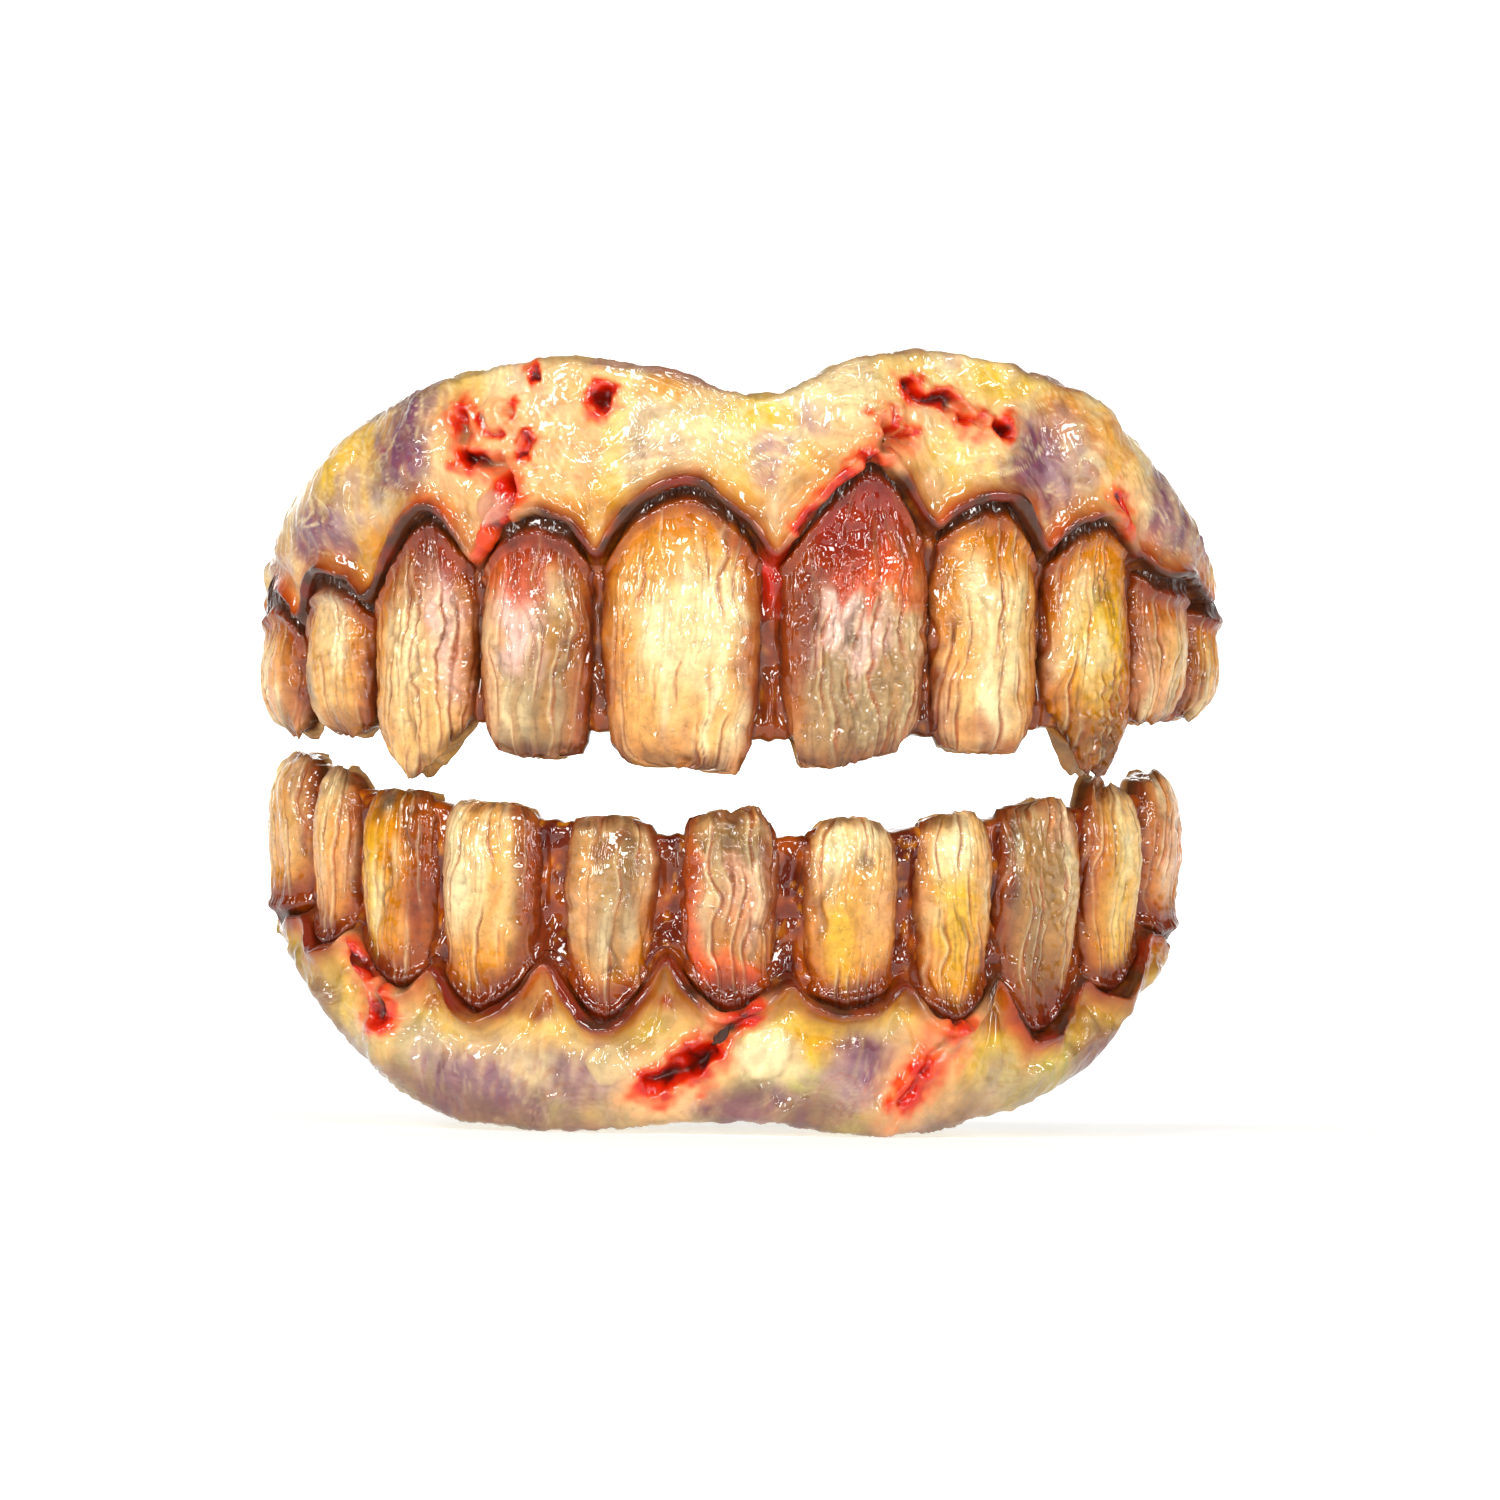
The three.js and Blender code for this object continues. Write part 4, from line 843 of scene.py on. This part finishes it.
LOWER_BLOTS = [
    ("moss", -4.5, 15, 2.4, 1.4, 0.6), ("lemon", 4.9, 15.6, 2.6, 1.5, 0.85),
    ("gold", 4.4, 15, 1.8, 0.9, 0.5), ("lemon", 15.4, 15.3, 2.4, 2.4, 0.7),
    ("gold", -13.6, 15.4, 2.6, 1.2, 0.5), ("lemon", -27.4, 12.8, 1.8, 2.2, 0.6),
    ("walnut", -8.2, 15.2, 2.4, 1.2, 0.55), ("lemon", 21.6, 13.6, 2.2, 1.4, 0.6),
    ("ivory", 1.8, 16.4, 1.8, 1.8, 0.8), ("lilac", -9.6, 17.6, 2.2, 1.8, 0.7),
    ("moss", -22.6, 16, 2.4, 2.2, 0.5), ("bone", -17.6, 15.8, 4.4, 1.4, 0.7),
    ("moss", 0.6, 17.8, 2.4, 1, 0.5), ("ash", 9.8, 15.4, 2, 1.6, 0.5), ("moss", 20, 15.6, 2.4, 1.6, 0.5),
    ("mauve", -11.3, 17.5, 1.5, 1.3, 0.6), ("mauve", -18.8, 18.8, 3.4, 1.7, 1),
    ("mauve", -14.8, 20.2, 2.2, 1.2, 0.7), ("lilac", -16.6, 17, 2.2, 1.8, 0.4),
    ("mauve", -30.5, 12, 1.6, 2.2, 0.6), ("mauve", 7.8, 16.2, 1.8, 1.8, 1),
    ("lilac", 6.5, 18, 1.8, 1.4, 0.7), ("mauve", 0.3, 19.6, 2.8, 1.1, 0.95),
    ("mauve", 5.2, 20, 1.8, 0.9, 0.7), ("mauve", 26.2, 13.8, 2, 3.4, 1), ("mauve", 28.9, 11.8, 2, 2.6, 1),
    ("lilac", 18.4, 17.6, 2.4, 2, 0.35), ("mauve", 33, 9.6, 2, 1.6, 0.6),
    ("mauve", -35, 9.4, 2.2, 1.4, 0.6), ("lilac", -21.6, 15.2, 1.6, 2.4, 0.4),
    ("moss", 11.6, 18, 1.6, 1.6, 0.3),
]
lower_gum = cast_mesh("lower_gum_cast", *cast_gum(LOWER, LOWER_SORES, LOWER_FLESH, LOWER_BLOTS))
finished(lower_gum, GUM_RESIN, "lower_gum")

# The lower teeth: eleven slimmer crowns of the same cast resin, with wavy growth lines, notched tips and
# red-brown necks, painted and lacquered like the upper ones.
LOWER_TEETH = [
    ("lower_right_second_premolar", "premolar", -0.085, 0, -0.1, ((-1, 0.6), (-0.4, 0), (0.5, 0.1),
     (1, 0.5)), "cream",
     [("gold", 0, 0.5, 0.8, 0.5, 0.6), ("rust", 0, 1, 1.4, 0.3, 0.85), ("amber", 0.6, 0.2, 0.5, 0.3, 0.5)],
      0.9),
    ("lower_right_first_premolar", "premolar", -0.045, -0.3, 0.1, ((-1, 0.4), (0, 0), (1, 0.4)), "peach",
     [("cream", -0.1, 0.4, 0.6, 0.4, 0.8), ("gold", 0.5, 0.5, 0.5, 0.5, 0.6),
      ("rust", 0.2, 0.98, 1.2, 0.2, 0.8), ("taupe", 0.6, 0.1, 0.4, 0.2, 0.6)], 1),
    ("lower_right_canine", "lower", 0.025, -0.2, 0.08, ((-1, 0.3), (-0.3, 0), (0.4, 0.1), (0.8, -0.3),
     (1, 0.4)), "gold",
     [("lemon", -0.4, 0.5, 0.5, 0.4, 0.9), ("umber", 0.1, 0.04, 1.2, 0.16, 0.85),
      ("ivory", -0.25, 0.55, 0.3, 0.22, 0.7), ("amber", 0.65, 0.55, 0.5, 0.7, 0.95),
      ("rust", 0.8, 0.4, 0.4, 0.5, 0.9), ("walnut", 0.2, 0.95, 1.2, 0.16, 0.8)], 0.95),
    ("lower_right_lateral_incisor", "lower", 0.055, 0, 0.06, ((-1, 0.2), (-0.4, -0.1), (0.5, 0), (1, 0.3)),
     "cream",
     [("ivory", -0.3, 0.35, 0.5, 0.35, 0.8), ("gold", -0.1, 0.75, 0.9, 0.2, 0.9),
      ("walnut", 0.75, 0.5, 0.35, 0.7, 0.95), ("rust", 0.85, 0.3, 0.3, 0.5, 0.8),
      ("rust", 0, 1, 1.2, 0.18, 0.95), ("peach", 0.2, 0.12, 0.6, 0.12, 0.5)], 1),
    ("lower_right_central_incisor", "lower", 0.09, 0, 0.04, ((-1, 0.2), (0, 0), (1, 0.2)), "ash",
     [("taupe", 0.2, 0.4, 0.8, 0.5, 0.5), ("peach", -0.5, 0.35, 0.4, 0.3, 0.7),
      ("gold", 0.75, 0.6, 0.3, 0.4, 0.8), ("rust", 0.1, 0.12, 0.7, 0.08, 0.5),
      ("rust", 0, 1, 1.2, 0.2, 0.95), ("umber", 0.5, 0.25, 0.25, 0.25, 0.5)], 1.1),
    ("lower_middle_incisor", "lower", 0.071, 0, 0, ((-1, 0.4), (-0.6, -0.1), (-0.35, -0.25), (-0.12, 0.1),
     (0.02, 0.55), (0.2, 0), (0.55, -0.35), (0.8, -0.1), (1, 0.5)), "ash",
     [("orange", -0.8, 0.55, 0.4, 0.4, 0.6), ("brick", -0.9, 0.35, 0.3, 0.4, 0.8),
      ("amber", 0, 0.6, 0.9, 0.2, 0.5), ("orange", 0, 0.78, 1, 0.12, 0.6), ("rust", 0, 0.9, 1.3, 0.14, 0.9),
      ("oxblood", 0, 1, 1.3, 0.14, 0.95), ("taupe", 0.1, 0.15, 0.9, 0.2, 0.8),
      ("pink", 0.2, 0.4, 0.5, 0.25, 0.5), ("rust", 0.75, 0.3, 0.25, 0.3, 0.6)], 1.1),
    ("lower_left_central_incisor", "lower", 0.09, 0.1, 0, ((-1, 0.5), (-0.5, 0), (0.2, -0.3), (0.7, -0.1),
     (1, 0.5)), "cream",
     [("gold", -0.3, 0.62, 0.9, 0.4, 0.95), ("lemon", -0.3, 0.6, 0.5, 0.3, 0.8),
      ("ivory", 0.3, 0.08, 0.8, 0.18, 0.9), ("peach", 0.65, 0.4, 0.35, 0.3, 0.8),
      ("walnut", 0, 1, 1.2, 0.16, 0.9)], 0.95),
    ("lower_left_lateral_incisor", "lower", 0.066, 0.1, 0, ((-1, 0.3), (-0.3, 0), (0.6, -0.2), (1, 0.3)),
     "cream",
     [("gold", -0.1, 0.66, 0.9, 0.4, 0.95), ("lemon", -0.1, 0.5, 0.6, 0.35, 0.9),
      ("ivory", -0.2, 0.14, 0.6, 0.18, 0.9), ("peach", 0.6, 0.2, 0.4, 0.2, 0.6),
      ("walnut", 0, 0.98, 1.2, 0.16, 0.9)], 0.95),
    ("lower_left_canine", "lower", 0.024, 0.2, 0, ((-1, 0.6), (-0.4, 0.1), (0.2, -0.15), (0.8, -0.1),
     (1, 0.4)), "ash",
     [("taupe", -0.2, 0.5, 0.9, 0.5, 0.8), ("ivory", 0.5, 0.4, 0.25, 0.4, 0.5),
      ("umber", -0.9, 0.4, 0.4, 0.7, 0.95), ("rust", 0, 0.98, 1.2, 0.3, 1),
      ("walnut", -0.2, 0.75, 0.6, 0.2, 0.7), ("pink", 0.3, 0.1, 0.6, 0.14, 0.4)], 1.05),
    ("lower_left_first_premolar", "premolar", -0.024, 0.2, 0, ((-1, -0.5), (-0.85, -1.1), (-0.7, 0.2),
     (0.2, -0.1), (1, 0.3)), "cream",
     [("lemon", 0, 0.5, 0.9, 0.5, 0.5), ("gold", -0.7, 0.6, 0.4, 0.5, 0.8),
      ("ivory", 0.2, 0.3, 0.5, 0.3, 0.7), ("rust", 0, 0.97, 1.2, 0.16, 0.85),
      ("amber", -0.8, 0.3, 0.3, 0.3, 0.7)], 0.9),
    ("lower_left_second_premolar", "premolar", -0.066, 0, 0.1, ((-1, 0.5), (-0.3, 0), (0.5, -0.1),
     (1, 0.5)), "peach",
     [("pink", 0, 0.4, 0.8, 0.4, 0.5), ("taupe", 0.3, 0.8, 0.8, 0.3, 0.6), ("rust", 0, 1, 1.2, 0.2, 0.8),
      ("amber", -0.8, 0.4, 0.3, 0.5, 0.6)], 0.9),
]
cast_row(LOWER, LOWER_TEETH, 800)

# The floor: plain pale studio paper, laid flat under the set and swept up far behind it in one soft curve.
FLOOR_Z = -0.0212
PAPER_HALF, PAPER_NEAR, PAPER_TOP = 2.4, -2.4, 1.8
SWEEP_START, SWEEP_RADIUS, SWEEP_STEPS = 1.2, 0.3, 24
profile = [(PAPER_NEAR, FLOOR_Z)]
for k in range(SWEEP_STEPS + 1):
    angle = math.pi / 2 * k / SWEEP_STEPS
    back, rise = SWEEP_RADIUS * math.sin(angle), SWEEP_RADIUS * (1 - math.cos(angle))
    profile.append((SWEEP_START + back, FLOOR_Z + rise))
profile.append((SWEEP_START + SWEEP_RADIUS, PAPER_TOP))
paper_points = [(x, y, z) for y, z in profile for x in (-PAPER_HALF, PAPER_HALF)]
paper_faces = [(2 * k, 2 * k + 1, 2 * k + 3, 2 * k + 2) for k in range(len(profile) - 1)]
paper_mesh = bpy.data.meshes.new("studio_paper")
paper_mesh.from_pydata(paper_points, [], paper_faces)
paper_mesh.polygons.foreach_set("use_smooth", [True] * len(paper_faces))
studio_paper = bpy.data.objects.new("studio_paper", paper_mesh)
bpy.context.scene.collection.objects.link(studio_paper)
# matt paper, a little over-lit as studio paper is, so that it comes out near white
matt_paper = bpy.data.materials.new("matt_white_paper")
matt_paper.use_nodes = True
set_inputs(matt_paper.node_tree.nodes["Principled BSDF"], {
    "Base Color": (*linear("#f2f2f0"), 1), "Roughness": 0.9,
    "Emission Color": (1.0, 1.0, 1.0, 1.0), "Emission Strength": 0.34,
})
paper_mesh.materials.append(matt_paper)

# The light: two softboxes, high at the front left and lower at the right, six small lamps and three narrow
# strips that put glints on the lacquer, a broad one overhead, one for the paper, and fills behind and below.
AIM = (-0.00075, -0.0092, 0.0024)  # the middle of the picture
WHITE = (1.0, 1.0, 1.0)


def softbox(name, at, towards, size, power, tint=WHITE):
    lamp = bpy.data.lights.new(name, "AREA")
    lamp.shape = "RECTANGLE"
    lamp.size, lamp.size_y = size
    lamp.energy = power
    lamp.color = tint
    holder = bpy.data.objects.new(name, lamp)
    holder.location = at
    holder.rotation_euler = (Vector(at) - Vector(towards)).to_track_quat("Z", "Y").to_euler()
    bpy.context.scene.collection.objects.link(holder)


softbox("key_softbox", (-0.42, -0.6, 0.34), AIM, (0.18, 0.18), 2.6, (1.0, 0.985, 0.96))
softbox("second_softbox", (0.42, -0.66, 0.26), AIM, (0.14, 0.16), 1.6, (1.0, 0.99, 0.98))
for number, (x, y, z, power) in enumerate([
    (-0.2, -0.75, 0.12, 0.5), (0.14, -0.72, 0.4, 0.5), (-0.62, -0.42, 0.2, 0.5), (0.62, -0.4, 0.34, 0.45),
    (0.22, -0.75, 0.0, 0.4), (-0.08, -0.6, 0.55, 0.5),
]):
    softbox(f"spark_lamp_{number + 1}", (x, y, z), AIM, (0.085, 0.085), power)
softbox("left_strip", (-0.6, -0.35, 0.1), AIM, (0.012, 0.5), 0.9)
softbox("right_strip", (0.55, -0.5, 0.05), AIM, (0.012, 0.5), 0.6)
softbox("top_strip", (0.02, -0.5, 0.5), AIM, (0.6, 0.012), 0.7)
softbox("overhead", (0.0, -0.25, 1.0), (0.0, -0.05, 0.0), (1.4, 0.6), 0.6)
softbox("paper_light", (0.0, 1.0, 0.3), (0.0, 1.5, 0.1), (1.2, 0.2), 8.0)
softbox("back_fill", (0.1, 0.8, 0.6), AIM, (0.6, 0.3), 2.2)
softbox("low_fill", (0.0, -0.9, 0.0), AIM, (0.9, 0.05), 0.3)
room = bpy.data.worlds.new("pale_room")
bpy.context.scene.world = room
room.use_nodes = True
set_inputs(room.node_tree.nodes["Background"], {"Color": (*WHITE, 1.0), "Strength": 0.08})
bpy.context.scene.view_settings.view_transform = "Standard"

# The camera: level with the bite, a little to the wearer's right of the middle, and rolled by a degree. The
# long lens keeps the arch's far ends in proportion, the way the photo shows them.
CAMERA_FAR, CAMERA_SIDE, CAMERA_ROLL = 1.1, math.radians(-3.5), math.radians(1.0)
lens = bpy.data.cameras.new("camera")
lens.lens, lens.sensor_width = 432.9, 36.0
lens.clip_start = 0.01
camera = bpy.data.objects.new("camera", lens)
back_off = Vector((math.sin(CAMERA_SIDE), -math.cos(CAMERA_SIDE), 0))
camera.location = Vector(AIM) + CAMERA_FAR * back_off
turned = back_off.to_track_quat("Z", "Y") @ Matrix.Rotation(CAMERA_ROLL, 3, "Z").to_quaternion()
camera.rotation_euler = turned.to_euler()
bpy.context.scene.collection.objects.link(camera)
bpy.context.scene.camera = camera
